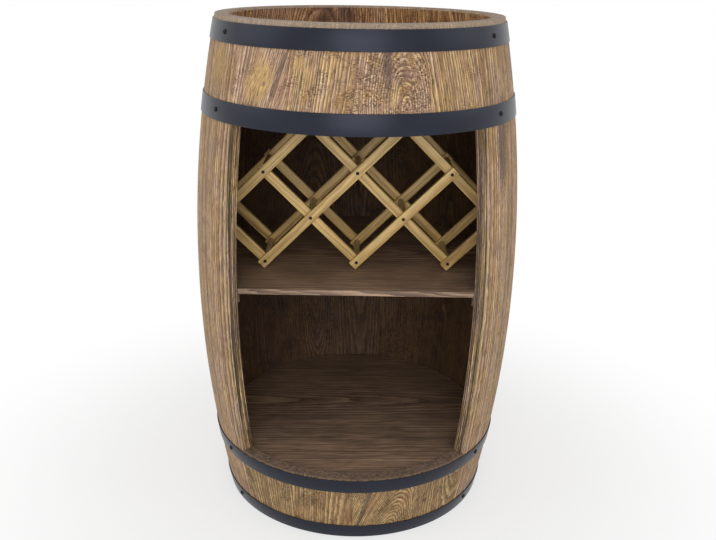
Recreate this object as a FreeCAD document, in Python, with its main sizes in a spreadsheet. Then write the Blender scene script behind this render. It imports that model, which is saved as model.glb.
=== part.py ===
import FreeCAD, Part
import math
import os
import Sketcher

# Barrel bar cabinet: a stave-built barrel with an open front, a shelf, a floor board and a bottle rack.
# Millimetres. +Z is up, the front faces -Y, and the origin is on the floor, on the axis of the barrel.
# An azimuth is in degrees about that axis: 0 is the front and +90 is +X.

doc = FreeCAD.newDocument("barrel_bar_cabinet")

# ---------------------------------------------------------------- driving dimensions

DIMENSIONS = (
    ("barrel_height", 750, "floor to rim"),
    ("bilge_diameter", 496, "outside of the staves at half height"),
    ("head_diameter", 417, "outside of the staves at either end"),
    ("stave_thickness", 20, "radial thickness of every stave"),
    ("stave_count", 15, "staves in the full circle"),
    ("opening_staves", 4, "staves cut short to make the front opening"),
    ("opening_bottom", 112, "top of the short lower staves"),
    ("opening_top_drop", 135, "rim to the lower end of the short upper staves"),
    ("stave_arris", 0.8, "chamfer on the long outer edges of a stave"),
    ("chime_bevel", 3, "bevel inside either end of a stave"),
    ("hoop_thickness", 1.5, "steel of every hoop"),
    ("hoop_clearance", 0.2, "radial play between a hoop and the staves"),
    ("top_hoop_width", 27, "height of the top hoop"),
    ("top_hoop_drop", 6, "rim to the top hoop"),
    ("upper_hoop_width", 28, "height of the hoop above the opening"),
    ("lower_hoop_width", 22, "height of the hoop below the opening"),
    ("lower_hoop_drop", 1, "edge of the opening to the lower hoop"),
    ("bottom_hoop_width", 22, "height of the bottom hoop"),
    ("bottom_hoop_lift", 1, "floor to the bottom hoop"),
    ("head_recess", 35, "end of the staves to the outer face of a head"),
    ("head_thickness", 16, "boards of a head"),
    ("head_clearance", 0.3, "play between a head and the staves"),
    ("head_boards", 4, "boards in a head"),
    ("croze_width", 6, "groove that holds a head"),
    ("croze_depth", 5, "depth of that groove"),
    ("floor_top", 108, "upper face of the floor board"),
    ("floor_thickness", 12, "floor board"),
    ("shelf_top", 378, "upper face of the shelf"),
    ("shelf_thickness", 8.5, "shelf board"),
    ("board_clearance", 0.5, "play between the shelf or the floor board and the staves"),
    ("cleat_length", 60, "cleat along the wall"),
    ("cleat_height", 20, "cleat"),
    ("cleat_depth", 15, "cleat, from the wall inwards"),
    ("cleat_clearance", 0.2, "play between a cleat and the wall"),
    ("cleat_screw_spacing", 36, "between the two screws of a cleat"),
    ("cleat_screw_length", 26, "countersunk screw, overall"),
    ("cleat_screw_shank", 3.5, "shank diameter"),
    ("cleat_screw_head", 7, "countersunk head diameter"),
    ("slat_count", 4, "slats of a lattice that lean the same way"),
    ("rack_side_margin", 10.6, "outermost crossings of the rack to the wall, at the shelf"),
    ("slat_width", 14, "rack slat"),
    ("slat_thickness", 8, "rack slat"),
    ("slat_overhang", 9, "end of a slat beyond its last crossing"),
    ("rack_front", 65, "axis of the barrel to the front face of the rack"),
    ("rack_spacing", 100, "front face of one lattice to the front face of the other"),
    ("rack_foot_clearance", 0.2, "shelf to the lowest corners of the slats"),
    ("rack_wall_clearance", 0.6, "staves to the mitred ends of the slats"),
    ("rod_diameter", 10, "round rod between the lattices"),
    ("rack_screw_length", 28, "screw through a crossing into its rod, without the head"),
    ("rack_screw_shank", 3, "shank diameter"),
    ("rack_screw_head", 5, "head diameter"),
    ("rack_screw_head_height", 1.2, "head above the slat"),
    ("hoop_screw_length", 15, "hoop screw, without the head"),
    ("hoop_screw_shank", 3.5, "shank diameter"),
    ("hoop_screw_head", 7, "head diameter"),
    ("hoop_screw_head_height", 1.8, "head above the hoop"),
    ("front_screw_azimuth", 57, "hoop screws beside the opening"),
    ("rear_screw_azimuth", 132, "hoop screws at the back"),
    ("bore_clearance", 0.1, "radial play of a screw in its bore"),
)

# Share of the height of a raised screw head that is rounded.
HEAD_ROUNDING = 0.7
# Staves from the floor cleat beside the opening to the one behind it, on either side.
FLOOR_CLEAT_STEP = 4
# The cells of the rack are squares that stand on a corner.
SLAT_LEAN = 45
# Two lengths that differ by less are the same.
SAME_LENGTH = 1e-6

sizes = doc.addObject("Spreadsheet::Sheet", "Sizes")
for row, (alias, value, meaning) in enumerate(DIMENSIONS, start=1):
    sizes.set(f"A{row}", alias)
    sizes.set(f"B{row}", str(value))
    sizes.set(f"C{row}", meaning)
    sizes.setAlias(f"B{row}", alias)
doc.recompute()


def number(expression):
    """Value of an expression in the cells of the sheet."""
    return float(sizes.evalExpression(expression))


def size(alias):
    """Value of one cell."""
    return float(sizes.get(alias))


# The staves bulge along one arc. Their outer and inner faces share its centre, which lies in the
# plane of half height.
HALF_HEIGHT = "(Sizes.barrel_height / 2)"
BULGE = "((Sizes.bilge_diameter - Sizes.head_diameter) / 2)"
OUTER_ARC = f"(({HALF_HEIGHT} ^ 2 + {BULGE} ^ 2) / (2 * {BULGE}))"
INNER_ARC = f"({OUTER_ARC} - Sizes.stave_thickness)"
ARC_CENTRE = f"(Sizes.bilge_diameter / 2 - {OUTER_ARC})"
STAVE_ANGLE = "(360 / Sizes.stave_count)"
OPENING_HALF_ANGLE = f"(Sizes.opening_staves * {STAVE_ANGLE} / 2)"


def wall_radius(arc, level):
    """Distance of an arc's surface from the axis of the barrel, at a level."""
    return f"({ARC_CENTRE} + sqrt({arc} ^ 2 - ({level} - {HALF_HEIGHT}) ^ 2))"


def outside(level):
    """Outer radius of the staves at a level."""
    return wall_radius(OUTER_ARC, level)


def inside(level):
    """Inner radius of the staves at a level."""
    return wall_radius(INNER_ARC, level)


# ---------------------------------------------------------------- sketches and features

def new_body(label):
    body = doc.addObject("PartDesign::Body", label)
    body.Label = label
    return body


def new_sketch(body, name, plane):
    """Empty sketch on one of the body's own origin planes."""
    sketch = body.newObject("Sketcher::SketchObject", name)
    support = next(item for item in body.Origin.OriginFeatures if item.Role == plane)
    sketch.AttachmentSupport = [(support, "")]
    sketch.MapMode = "FlatFace"
    return sketch


def bind(sketch, kind, *places, expression):
    """Dimension of a sketch, driven by an expression."""
    index = sketch.addConstraint(Sketcher.Constraint(kind, *places, number(expression)))
    sketch.setExpression(f"Constraints[{index}]", expression)


def place_vertex(sketch, line, end, across=None, up=None):
    """Ties one end of a line to the sketch's axes."""
    for kind, axis, expression in (("DistanceX", -2, across), ("DistanceY", -1, up)):
        if expression is None:
            continue
        if abs(number(expression)) < SAME_LENGTH:
            sketch.addConstraint(Sketcher.Constraint("PointOnObject", line, end, axis))
        else:
            bind(sketch, kind, -1, 1, line, end, expression=expression)


def add_outline(sketch, corners):
    """Closed polygon whose corners are pairs of expressions."""
    points = [FreeCAD.Vector(number(across), number(up), 0) for across, up in corners]
    first = sketch.GeometryCount
    count = len(corners)
    for index, point in enumerate(points):
        sketch.addGeometry(Part.LineSegment(point, points[(index + 1) % count]), False)
    for index, (across, up) in enumerate(corners):
        following = first + (index + 1) % count
        sketch.addConstraint(Sketcher.Constraint("Coincident", first + index, 2, following, 1))
        place_vertex(sketch, first + index, 1, across, up)


def revolve(body, sketch, angle=None):
    """Solid of revolution about the upright axis, centred on the sketch if it is a part turn."""
    feature = body.newObject("PartDesign::Revolution", "revolution")
    feature.Profile = sketch
    feature.ReferenceAxis = (sketch, ["V_Axis"])
    if angle is None:
        feature.Angle = 360
    else:
        feature.Angle = number(angle)
        feature.setExpression("Angle", angle)
        feature.Midplane = True
    return feature


def groove(body, sketch):
    """Full turn cut about the upright axis, which has to take material away."""
    doc.recompute()
    before = body.Shape.Volume
    feature = body.newObject("PartDesign::Groove", "groove")
    feature.Profile = sketch
    feature.ReferenceAxis = (sketch, ["V_Axis"])
    feature.Angle = 360
    doc.recompute()
    if not body.Shape.Volume < before:
        raise RuntimeError(f"the groove of {body.Label} cuts nothing")
    return feature


def around_axis(azimuth):
    """Placement that turns +X to an azimuth."""
    return FreeCAD.Placement(FreeCAD.Vector(), FreeCAD.Rotation(FreeCAD.Vector(0, 0, 1), azimuth - 90))


def stored_shape(label, shape):
    """Object that holds a shape for which no sketch or primitive fits."""
    feature = doc.addObject("Part::Feature", label)
    feature.Label = label
    feature.Shape = shape
    return feature


def cut(label, base, tool):
    feature = doc.addObject("Part::Cut", label)
    feature.Label = label
    feature.Base = base
    feature.Tool = tool
    return feature


def common(label, base, tool):
    feature = doc.addObject("Part::Common", label)
    feature.Label = label
    feature.Base = base
    feature.Tool = tool
    return feature


pieces = []

# ---------------------------------------------------------------- screws and their bores

# Every fastener stands on its seat: the seat is the plane z = 0, the shank points to -Z and a raised
# head to +Z.


def on_stave(azimuth, level, proud=0.0):
    """Seat square to the outer face of the staves, or proud of it."""
    tilt = math.degrees(math.asin((level - number(HALF_HEIGHT)) / number(OUTER_ARC)))
    centre = FreeCAD.Vector(number(ARC_CENTRE), 0, number(HALF_HEIGHT))
    outward = FreeCAD.Vector(math.cos(math.radians(tilt)), 0, math.sin(math.radians(tilt)))
    seat = FreeCAD.Placement(
        centre + outward * (number(OUTER_ARC) + proud),
        FreeCAD.Rotation(FreeCAD.Vector(0, 0, 1), outward),
    )
    return around_axis(azimuth).multiply(seat)


def pan_screw(shank, length, head, height):
    """Screw with a rounded raised head."""
    stem = Part.makeCylinder(shank / 2, length, FreeCAD.Vector(0, 0, -length))
    cap = Part.makeCylinder(head / 2, height)
    rim = [edge for edge in cap.Edges if edge.BoundBox.ZMin > height / 2]
    return stem.fuse(cap.makeFillet(height * HEAD_ROUNDING, rim)).removeSplitter()


def countersunk_screw(shank, length, head):
    """Screw whose conical head lies flush with its seat."""
    depth = (head - shank) / 2
    stem = Part.makeCylinder(shank / 2, length - depth, FreeCAD.Vector(0, 0, -length))
    cap = Part.makeCone(shank / 2, head / 2, depth, FreeCAD.Vector(0, 0, -depth))
    return stem.fuse(cap).removeSplitter()


def copies(shape, seats):
    """The same shape on each of the seats, as separate solids."""
    return Part.makeCompound([shape.transformed(seat.toMatrix(), True) for seat in seats])


TOP_HOOP = (
    "(Sizes.barrel_height - Sizes.top_hoop_drop - Sizes.top_hoop_width)",
    "(Sizes.barrel_height - Sizes.top_hoop_drop)",
)
OPENING_TOP = "(Sizes.barrel_height - Sizes.opening_top_drop)"
UPPER_HOOP = (OPENING_TOP, f"({OPENING_TOP} + Sizes.upper_hoop_width)")
LOWER_HOOP = (
    "(Sizes.opening_bottom - Sizes.lower_hoop_drop - Sizes.lower_hoop_width)",
    "(Sizes.opening_bottom - Sizes.lower_hoop_drop)",
)
BOTTOM_HOOP = ("Sizes.bottom_hoop_lift", "(Sizes.bottom_hoop_lift + Sizes.bottom_hoop_width)")
HOOPS = {
    "top_hoop": TOP_HOOP,
    "upper_hoop": UPPER_HOOP,
    "lower_hoop": LOWER_HOOP,
    "bottom_hoop": BOTTOM_HOOP,
}

hoop_face = size("hoop_clearance") + size("hoop_thickness")
hoop_screw_azimuths = [
    side * size(alias) for alias in ("front_screw_azimuth", "rear_screw_azimuth") for side in (-1, 1)
]
hoop_screw_seats = [
    on_stave(azimuth, (number(lower) + number(upper)) / 2, hoop_face)
    for lower, upper in HOOPS.values()
    for azimuth in hoop_screw_azimuths
]
hoop_screw = pan_screw(
    size("hoop_screw_shank"),
    size("hoop_screw_length"),
    size("hoop_screw_head"),
    size("hoop_screw_head_height"),
)
hoop_bore_length = size("hoop_screw_length") + size("bore_clearance")
hoop_bore = Part.makeCylinder(
    size("hoop_screw_shank") / 2 + size("bore_clearance"),
    hoop_bore_length + size("hoop_thickness"),
    FreeCAD.Vector(0, 0, -hoop_bore_length),
)

# The cleats are drilled in their own frame, with +X out through the wall.
SHELF_CLEAT_TOP = "(Sizes.shelf_top - Sizes.shelf_thickness)"
FLOOR_CLEAT_TOP = "(Sizes.floor_top - Sizes.floor_thickness)"


def cleat_azimuths(*steps):
    """Middles of staves on both sides, counted in staves from the outermost short one."""
    outermost = number(OPENING_HALF_ANGLE) - number(STAVE_ANGLE) / 2
    return [side * (outermost + step * number(STAVE_ANGLE)) for step in steps for side in (-1, 1)]


shelf_cleat_azimuths = cleat_azimuths(1) + [180]
floor_cleat_azimuths = cleat_azimuths(0, FLOOR_CLEAT_STEP)


def cleat_screw_seats(top):
    """Two level seats on the inner face of a cleat that stands at azimuth +X."""
    level = number(top) - size("cleat_height") / 2
    face = number(inside(top)) - size("cleat_depth")
    turn = FreeCAD.Rotation(FreeCAD.Vector(0, 0, 1), FreeCAD.Vector(-1, 0, 0))
    offset = size("cleat_screw_spacing") / 2
    return [FreeCAD.Placement(FreeCAD.Vector(face, side * offset, level), turn) for side in (-1, 1)]


cleat_screw = countersunk_screw(
    size("cleat_screw_shank"), size("cleat_screw_length"), size("cleat_screw_head")
)
cleat_bore = countersunk_screw(
    size("cleat_screw_shank") + 2 * size("bore_clearance"),
    size("cleat_screw_length") + size("bore_clearance"),
    size("cleat_screw_head") + 2 * size("bore_clearance"),
)

cleat_screw_places = [
    around_axis(azimuth).multiply(seat)
    for top, azimuths in ((SHELF_CLEAT_TOP, shelf_cleat_azimuths), (FLOOR_CLEAT_TOP, floor_cleat_azimuths))
    for azimuth in azimuths
    for seat in cleat_screw_seats(top)
]

hoop_bores = stored_shape("hoop_bores", copies(hoop_bore, hoop_screw_seats))
stave_bores = stored_shape(
    "stave_bores",
    Part.makeCompound([copies(hoop_bore, hoop_screw_seats), copies(cleat_bore, cleat_screw_places)]),
)
pieces.append(stored_shape("hoop_screws", copies(hoop_screw, hoop_screw_seats)))
pieces.append(stored_shape("cleat_screws", copies(cleat_screw, cleat_screw_places)))

# ---------------------------------------------------------------- staves


def stave_section(body, bottom, top):
    """Radial section of a stave: two arcs about one centre, closed by level ends."""
    sketch = new_sketch(body, "stave_section", "XZ_Plane")
    centre = FreeCAD.Vector(number(ARC_CENTRE), number(HALF_HEIGHT), 0)
    for arc in (OUTER_ARC, INNER_ARC):
        radius = number(arc)
        low, high = [math.asin((number(level) - centre.y) / radius) for level in (bottom, top)]
        circle = Part.Circle(centre, FreeCAD.Vector(0, 0, 1), radius)
        sketch.addGeometry(Part.ArcOfCircle(circle, low, high), False)
    for level, ends in ((bottom, (inside, outside)), (top, (outside, inside))):
        points = [FreeCAD.Vector(number(wall(level)), number(level), 0) for wall in ends]
        sketch.addGeometry(Part.LineSegment(*points), False)
    outer, inner, lower_end, upper_end = range(4)
    for joint in (
        (outer, 3, inner, 3),
        (inner, 1, lower_end, 1),
        (lower_end, 2, outer, 1),
        (outer, 2, upper_end, 1),
        (upper_end, 2, inner, 2),
    ):
        sketch.addConstraint(Sketcher.Constraint("Coincident", *joint))
    for end in (lower_end, upper_end):
        sketch.addConstraint(Sketcher.Constraint("Horizontal", end))
    place_vertex(sketch, outer, 3, across=ARC_CENTRE, up=HALF_HEIGHT)
    place_vertex(sketch, lower_end, 1, up=bottom)
    place_vertex(sketch, upper_end, 1, up=top)
    bind(sketch, "Radius", outer, expression=OUTER_ARC)
    bind(sketch, "Radius", inner, expression=INNER_ARC)
    return sketch


def from_end(end, distance):
    """Level at a distance from the bottom or the top end of the barrel."""
    return distance if end == "bottom" else f"(Sizes.barrel_height - {distance})"


HEAD_MIDDLE = "(Sizes.head_recess + Sizes.head_thickness / 2)"


def croze_and_bevel(body, end):
    """Groove for the head, and bevel on the inner edge of the end."""
    sketch = new_sketch(body, f"{end}_croze", "XZ_Plane")
    middle = from_end(end, HEAD_MIDDLE)
    root = f"({inside(middle)} + Sizes.croze_depth)"
    mouth = f"({inside(middle)} - Sizes.stave_thickness)"
    lower = f"({middle} - Sizes.croze_width / 2)"
    upper = f"({middle} + Sizes.croze_width / 2)"
    add_outline(sketch, [(mouth, lower), (root, lower), (root, upper), (mouth, upper)])
    # The triangle that cuts the bevel runs on past the corner of the wall by the size of the bevel.
    corner = inside(from_end(end, "0"))
    past = f"({corner} - Sizes.chime_bevel)"
    edge = from_end(end, "0")
    add_outline(
        sketch,
        [
            (f"({corner} + Sizes.chime_bevel)", edge),
            (past, edge),
            (past, from_end(end, "(2 * Sizes.chime_bevel)")),
        ],
    )
    groove(body, sketch)


def break_arrises(body, feature):
    """Small chamfer on the two long outer edges."""
    doc.recompute()
    edges = {f"Edge{index}": edge for index, edge in enumerate(feature.Shape.Edges, start=1)}
    heights = {name: edge.BoundBox.ZLength for name, edge in edges.items()}
    reaches = {
        name: max(math.hypot(vertex.X, vertex.Y) for vertex in edge.Vertexes)
        for name, edge in edges.items()
    }
    tall = {name for name in edges if heights[name] > max(heights.values()) - SAME_LENGTH}
    outer = {name for name in edges if reaches[name] > max(reaches.values()) - SAME_LENGTH}
    chamfer = body.newObject("PartDesign::Chamfer", "arris")
    chamfer.Base = (feature, sorted(tall & outer))
    chamfer.setExpression("Size", "Sizes.stave_arris")


def make_stave(label, azimuth, bottom, top, ends):
    """Slice of the barrel's wall with its crozes and bevels, drilled for the screws that meet it."""
    body = new_body(f"{label}_blank")
    blank = revolve(body, stave_section(body, bottom, top), STAVE_ANGLE)
    break_arrises(body, blank)
    for end in ends:
        croze_and_bevel(body, end)
    body.Placement = around_axis(azimuth)
    pieces.append(cut(label, body, stave_bores))


stave_angle = number(STAVE_ANGLE)
opening_half_angle = number(OPENING_HALF_ANGLE)
opening_staves = round(size("opening_staves"))
for index in range(round(size("stave_count")) - opening_staves):
    make_stave(
        f"full_stave_{index + 1:02d}",
        opening_half_angle + (index + 0.5) * stave_angle,
        "0",
        "Sizes.barrel_height",
        ("bottom", "top"),
    )
for index in range(opening_staves):
    azimuth = (index + 0.5) * stave_angle - opening_half_angle
    make_stave(f"upper_stave_{index + 1}", azimuth, OPENING_TOP, "Sizes.barrel_height", ("top",))
    make_stave(f"lower_stave_{index + 1}", azimuth, "0", "Sizes.opening_bottom", ("bottom",))

# ---------------------------------------------------------------- hoops

for label, (lower, upper) in HOOPS.items():
    body = new_body(f"{label}_band")
    section = new_sketch(body, "hoop_section", "XZ_Plane")
    inner_faces = [f"({outside(level)} + Sizes.hoop_clearance)" for level in (lower, upper)]
    outer_faces = [f"({face} + Sizes.hoop_thickness)" for face in inner_faces]
    add_outline(
        section,
        [
            (inner_faces[0], lower),
            (outer_faces[0], lower),
            (outer_faces[1], upper),
            (inner_faces[1], upper),
        ],
    )
    revolve(body, section)
    pieces.append(cut(label, body, hoop_bores))

# ---------------------------------------------------------------- heads


def make_head(end):
    """Round head with a tongue for the croze, sawn into boards that lie side by side."""
    blank = new_body(f"{end}_head_blank")
    section = new_sketch(blank, "head_section", "XZ_Plane")
    face = f"({inside(from_end(end, 'Sizes.head_recess'))} - Sizes.head_clearance)"
    tongue = f"({inside(from_end(end, HEAD_MIDDLE))} + Sizes.croze_depth - Sizes.head_clearance)"
    half_tongue = "(Sizes.croze_width / 2 - Sizes.head_clearance)"
    levels = [
        from_end(end, distance)
        for distance in (
            "Sizes.head_recess",
            f"({HEAD_MIDDLE} - {half_tongue})",
            f"({HEAD_MIDDLE} + {half_tongue})",
            "(Sizes.head_recess + Sizes.head_thickness)",
        )
    ]
    add_outline(
        section,
        [
            ("0", levels[0]),
            (face, levels[0]),
            (face, levels[1]),
            (tongue, levels[1]),
            (tongue, levels[2]),
            (face, levels[2]),
            (face, levels[3]),
            ("0", levels[3]),
        ],
    )
    revolve(blank, section)
    board_width = f"(2 * {tongue} / Sizes.head_boards)"
    for index in range(round(size("head_boards"))):
        plank = doc.addObject("Part::Box", f"{end}_head_plank_{index + 1}")
        plank.setExpression("Length", f"2 * {tongue}")
        plank.setExpression("Width", board_width)
        plank.setExpression("Height", "Sizes.barrel_height")
        plank.setExpression("Placement.Base.x", f"-{tongue}")
        plank.setExpression("Placement.Base.y", f"{board_width} * {index} - {tongue}")
        pieces.append(common(f"{end}_head_board_{index + 1}", blank, plank))


make_head("top")
make_head("bottom")

# ---------------------------------------------------------------- floor board, shelf and cleats

floor_board = doc.addObject("Part::Cylinder", "floor_board")
floor_board.Label = "floor_board"
floor_board.setExpression("Radius", f"{inside(FLOOR_CLEAT_TOP)} - Sizes.board_clearance")
floor_board.setExpression("Height", "Sizes.floor_thickness")
floor_board.setExpression("Placement.Base.z", FLOOR_CLEAT_TOP)
pieces.append(floor_board)

# The front edge of the shelf runs straight between the inner corners of the opening.
SHELF_RADIUS = f"({inside('Sizes.shelf_top')} - Sizes.board_clearance)"
SHELF_CHORD = f"({inside('Sizes.shelf_top')} * cos({OPENING_HALF_ANGLE}))"

shelf = new_body("shelf")
shelf_outline = new_sketch(shelf, "shelf_outline", "XY_Plane")
chord_angle = math.acos(number(SHELF_CHORD) / number(SHELF_RADIUS))
shelf_circle = Part.Circle(FreeCAD.Vector(), FreeCAD.Vector(0, 0, 1), number(SHELF_RADIUS))
shelf_arc = Part.ArcOfCircle(shelf_circle, chord_angle - math.pi / 2, 3 * math.pi / 2 - chord_angle)
shelf_outline.addGeometry(shelf_arc, False)
shelf_outline.addGeometry(Part.LineSegment(shelf_arc.EndPoint, shelf_arc.StartPoint), False)
shelf_outline.addConstraint(Sketcher.Constraint("Coincident", 0, 3, -1, 1))
shelf_outline.addConstraint(Sketcher.Constraint("Coincident", 0, 2, 1, 1))
shelf_outline.addConstraint(Sketcher.Constraint("Coincident", 1, 2, 0, 1))
shelf_outline.addConstraint(Sketcher.Constraint("Horizontal", 1))
bind(shelf_outline, "Radius", 0, expression=SHELF_RADIUS)
bind(shelf_outline, "DistanceY", -1, 1, 1, 1, expression=f"-{SHELF_CHORD}")
shelf_pad = shelf.newObject("PartDesign::Pad", "shelf_pad")
shelf_pad.Profile = shelf_outline
shelf_pad.setExpression("Length", "Sizes.shelf_thickness")
shelf.setExpression("Placement.Base.z", SHELF_CLEAT_TOP)
pieces.append(shelf)

# The hollow of the barrel, less the play, gives every cleat its scribed back.
hollow = new_body("hollow")
hollow_section = new_sketch(hollow, "hollow_section", "XZ_Plane")
hollow_arc = f"({INNER_ARC} - Sizes.cleat_clearance)"
low_level, high_level = "Sizes.head_recess", "(Sizes.barrel_height - Sizes.head_recess)"
hollow_centre = FreeCAD.Vector(number(ARC_CENTRE), number(HALF_HEIGHT), 0)
hollow_limits = [
    math.asin((number(level) - hollow_centre.y) / number(hollow_arc)) for level in (low_level, high_level)
]
hollow_circle = Part.Circle(hollow_centre, FreeCAD.Vector(0, 0, 1), number(hollow_arc))
hollow_section.addGeometry(Part.ArcOfCircle(hollow_circle, *hollow_limits), False)
hollow_points = [
    FreeCAD.Vector(number(wall_radius(hollow_arc, high_level)), number(high_level), 0),
    FreeCAD.Vector(0, number(high_level), 0),
    FreeCAD.Vector(0, number(low_level), 0),
    FreeCAD.Vector(number(wall_radius(hollow_arc, low_level)), number(low_level), 0),
]
for start, end in zip(hollow_points, hollow_points[1:]):
    hollow_section.addGeometry(Part.LineSegment(start, end), False)
for joint in ((0, 2, 1, 1), (1, 2, 2, 1), (2, 2, 3, 1), (3, 2, 0, 1)):
    hollow_section.addConstraint(Sketcher.Constraint("Coincident", *joint))
for level_line in (1, 3):
    hollow_section.addConstraint(Sketcher.Constraint("Horizontal", level_line))
place_vertex(hollow_section, 0, 3, across=ARC_CENTRE, up=HALF_HEIGHT)
place_vertex(hollow_section, 2, 1, across="0", up=high_level)
place_vertex(hollow_section, 2, 2, across="0", up=low_level)
bind(hollow_section, "Radius", 0, expression=hollow_arc)
revolve(hollow, hollow_section)


def make_cleats(name, top, azimuths):
    """Blocks, deeper than they need to be, cut to the hollow and drilled."""
    for index, azimuth in enumerate(azimuths, start=1):
        label = f"{name}_{index}"
        block = doc.addObject("Part::Box", f"{label}_block")
        block.setExpression("Length", "Sizes.cleat_depth * 2")
        block.setExpression("Width", "Sizes.cleat_length")
        block.setExpression("Height", "Sizes.cleat_height")
        block.setExpression("Placement.Base.x", f"{inside(top)} - Sizes.cleat_depth")
        block.setExpression("Placement.Base.y", "-Sizes.cleat_length / 2")
        block.setExpression("Placement.Base.z", f"{top} - Sizes.cleat_height")
        scribed = common(f"{label}_scribed", block, hollow)
        bores = stored_shape(f"{label}_bores", copies(cleat_bore, cleat_screw_seats(top)))
        cleat = cut(label, scribed, bores)
        cleat.Placement = around_axis(azimuth)
        pieces.append(cleat)


make_cleats("shelf_cleat", SHELF_CLEAT_TOP, shelf_cleat_azimuths)
make_cleats("floor_cleat", FLOOR_CLEAT_TOP, floor_cleat_azimuths)

# ---------------------------------------------------------------- bottle rack

# The slats lie on the lines of a grid that stands on a corner. A crossing has a column, counted from the
# middle of the cabinet, and a row, counted from the shelf, both in half diagonals of a cell. The grid is
# as wide as the barrel allows, and its outermost crossings lie in the column and the row named here.
WALL_COLUMN = round(size("slat_count")) - 1
WALL_ROW = 1
HALF_CELL = (
    f"((sqrt({inside('Sizes.shelf_top')} ^ 2 - Sizes.rack_front ^ 2) - Sizes.rack_side_margin)"
    " / (Sizes.slat_count - 1))"
)
CELL_SIDE = f"({HALF_CELL} * sqrt(2))"
LOWEST_CROSSING = (
    "(Sizes.shelf_top + Sizes.rack_foot_clearance"
    " + (Sizes.slat_overhang + Sizes.slat_width / 2) / sqrt(2))"
)

# Where rising slat i and falling slat j cross, both counted from the left.
CROSSINGS = {
    (rising, falling): (rising + falling - WALL_COLUMN, WALL_ROW + falling - rising)
    for rising in range(WALL_COLUMN + 1)
    for falling in range(WALL_COLUMN + 1)
    if 0 <= WALL_ROW + falling - rising <= WALL_COLUMN
}


def slat_crossings(way, number_from_left):
    """Crossings of one slat, from left to right. The way is 0 for a rising slat and 1 for a falling one."""
    return sorted(place for pair, place in CROSSINGS.items() if pair[way] == number_from_left)


FRONT_LATTICE = ("front", "(-Sizes.rack_front)", "Sizes.rack_front")
REAR_LATTICE = (
    "rear",
    "(Sizes.rack_spacing - Sizes.rack_front)",
    "(Sizes.rack_spacing - Sizes.rack_front + 2 * Sizes.slat_thickness)",
)


def crossing_level(row):
    return f"({LOWEST_CROSSING} + {row} * {HALF_CELL})"


def slat_end(mitred, reach, side, lean):
    """How far a slat goes beyond its last crossing, on its lower (-1) or upper (+1) edge."""
    if not mitred:
        return "Sizes.slat_overhang"
    return f"({reach} * sqrt(2) + {side * lean} * Sizes.slat_width / 2)"


def make_slat(label, places, direction, face, deepest):
    """Slat in its own frame: +X along it from the first crossing, and its front face at y = 0."""
    column, row = places[0]
    # The mitred ends clear the wall at the level of their highest corner, where it is nearest.
    highest = f"({crossing_level(WALL_ROW)} + Sizes.rack_side_margin + Sizes.slat_width / sqrt(2))"
    reach = f"(sqrt({inside(highest)} ^ 2 - {deepest} ^ 2) - Sizes.rack_wall_clearance"
    reach += f" - {WALL_COLUMN} * {HALF_CELL})"
    starts, ends = [
        [slat_end(abs(place[0]) == WALL_COLUMN, reach, side, lean * direction) for side in (-1, 1)]
        for place, lean in ((places[0], -1), (places[-1], 1))
    ]
    span = f"{len(places) - 1} * {CELL_SIDE}"
    edges = ("(-Sizes.slat_width / 2)", "(Sizes.slat_width / 2)")
    body = new_body(label)
    profile = new_sketch(body, "slat_outline", "XZ_Plane")
    add_outline(
        profile,
        [
            (f"(-{starts[0]})", edges[0]),
            (f"({span} + {ends[0]})", edges[0]),
            (f"({span} + {ends[1]})", edges[1]),
            (f"(-{starts[1]})", edges[1]),
        ],
    )
    bore = "(Sizes.rack_screw_shank / 2 + Sizes.bore_clearance)"
    for index in range(len(places)):
        along = f"{index} * {CELL_SIDE}"
        centre = FreeCAD.Vector(number(along), 0, 0)
        circle = Part.Circle(centre, FreeCAD.Vector(0, 0, 1), number(bore))
        hole = profile.addGeometry(circle, False)
        place_vertex(profile, hole, 3, across=along, up="0")
        bind(profile, "Radius", hole, expression=bore)
    pad = body.newObject("PartDesign::Pad", "slat_pad")
    pad.Profile = profile
    pad.Reversed = True
    pad.setExpression("Length", "Sizes.slat_thickness")
    body.Placement = FreeCAD.Placement(
        FreeCAD.Vector(), FreeCAD.Rotation(FreeCAD.Vector(0, 1, 0), -SLAT_LEAN * direction)
    )
    layer = 0 if direction > 0 else 1
    body.setExpression("Placement.Base.x", f"{column} * {HALF_CELL}")
    body.setExpression("Placement.Base.y", f"{face} + {layer} * Sizes.slat_thickness")
    body.setExpression("Placement.Base.z", crossing_level(row))
    pieces.append(body)


for lattice, face, deepest in (FRONT_LATTICE, REAR_LATTICE):
    for way, (name, direction) in enumerate((("rising_slat", 1), ("falling_slat", -1))):
        for index in range(WALL_COLUMN + 1):
            places = slat_crossings(way, index)
            make_slat(f"{lattice}_{name}_{index + 1}", places, direction, face, deepest)

# A rod behind every crossing carries the rear lattice on the front one. Its ends are drilled for the
# screws that come through the slats.
front_face = number(FRONT_LATTICE[1])
lattice_depth = 2 * size("slat_thickness")
rod_length = size("rack_spacing") - lattice_depth
rear_face = front_face + size("rack_spacing") + lattice_depth
bore_depth = size("rack_screw_length") - lattice_depth + size("bore_clearance")
rod_bore_radius = size("rack_screw_shank") / 2 + size("bore_clearance")


def rack_seats(level, towards):
    """Placement at every crossing, at a depth, with +Z towards the front (-1) or the back (+1)."""
    turn = FreeCAD.Rotation(FreeCAD.Vector(0, 0, 1), FreeCAD.Vector(0, towards, 0))
    half_cell = number(HALF_CELL)
    return [
        FreeCAD.Placement(FreeCAD.Vector(column * half_cell, level, number(crossing_level(row))), turn)
        for column, row in CROSSINGS.values()
    ]


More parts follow.
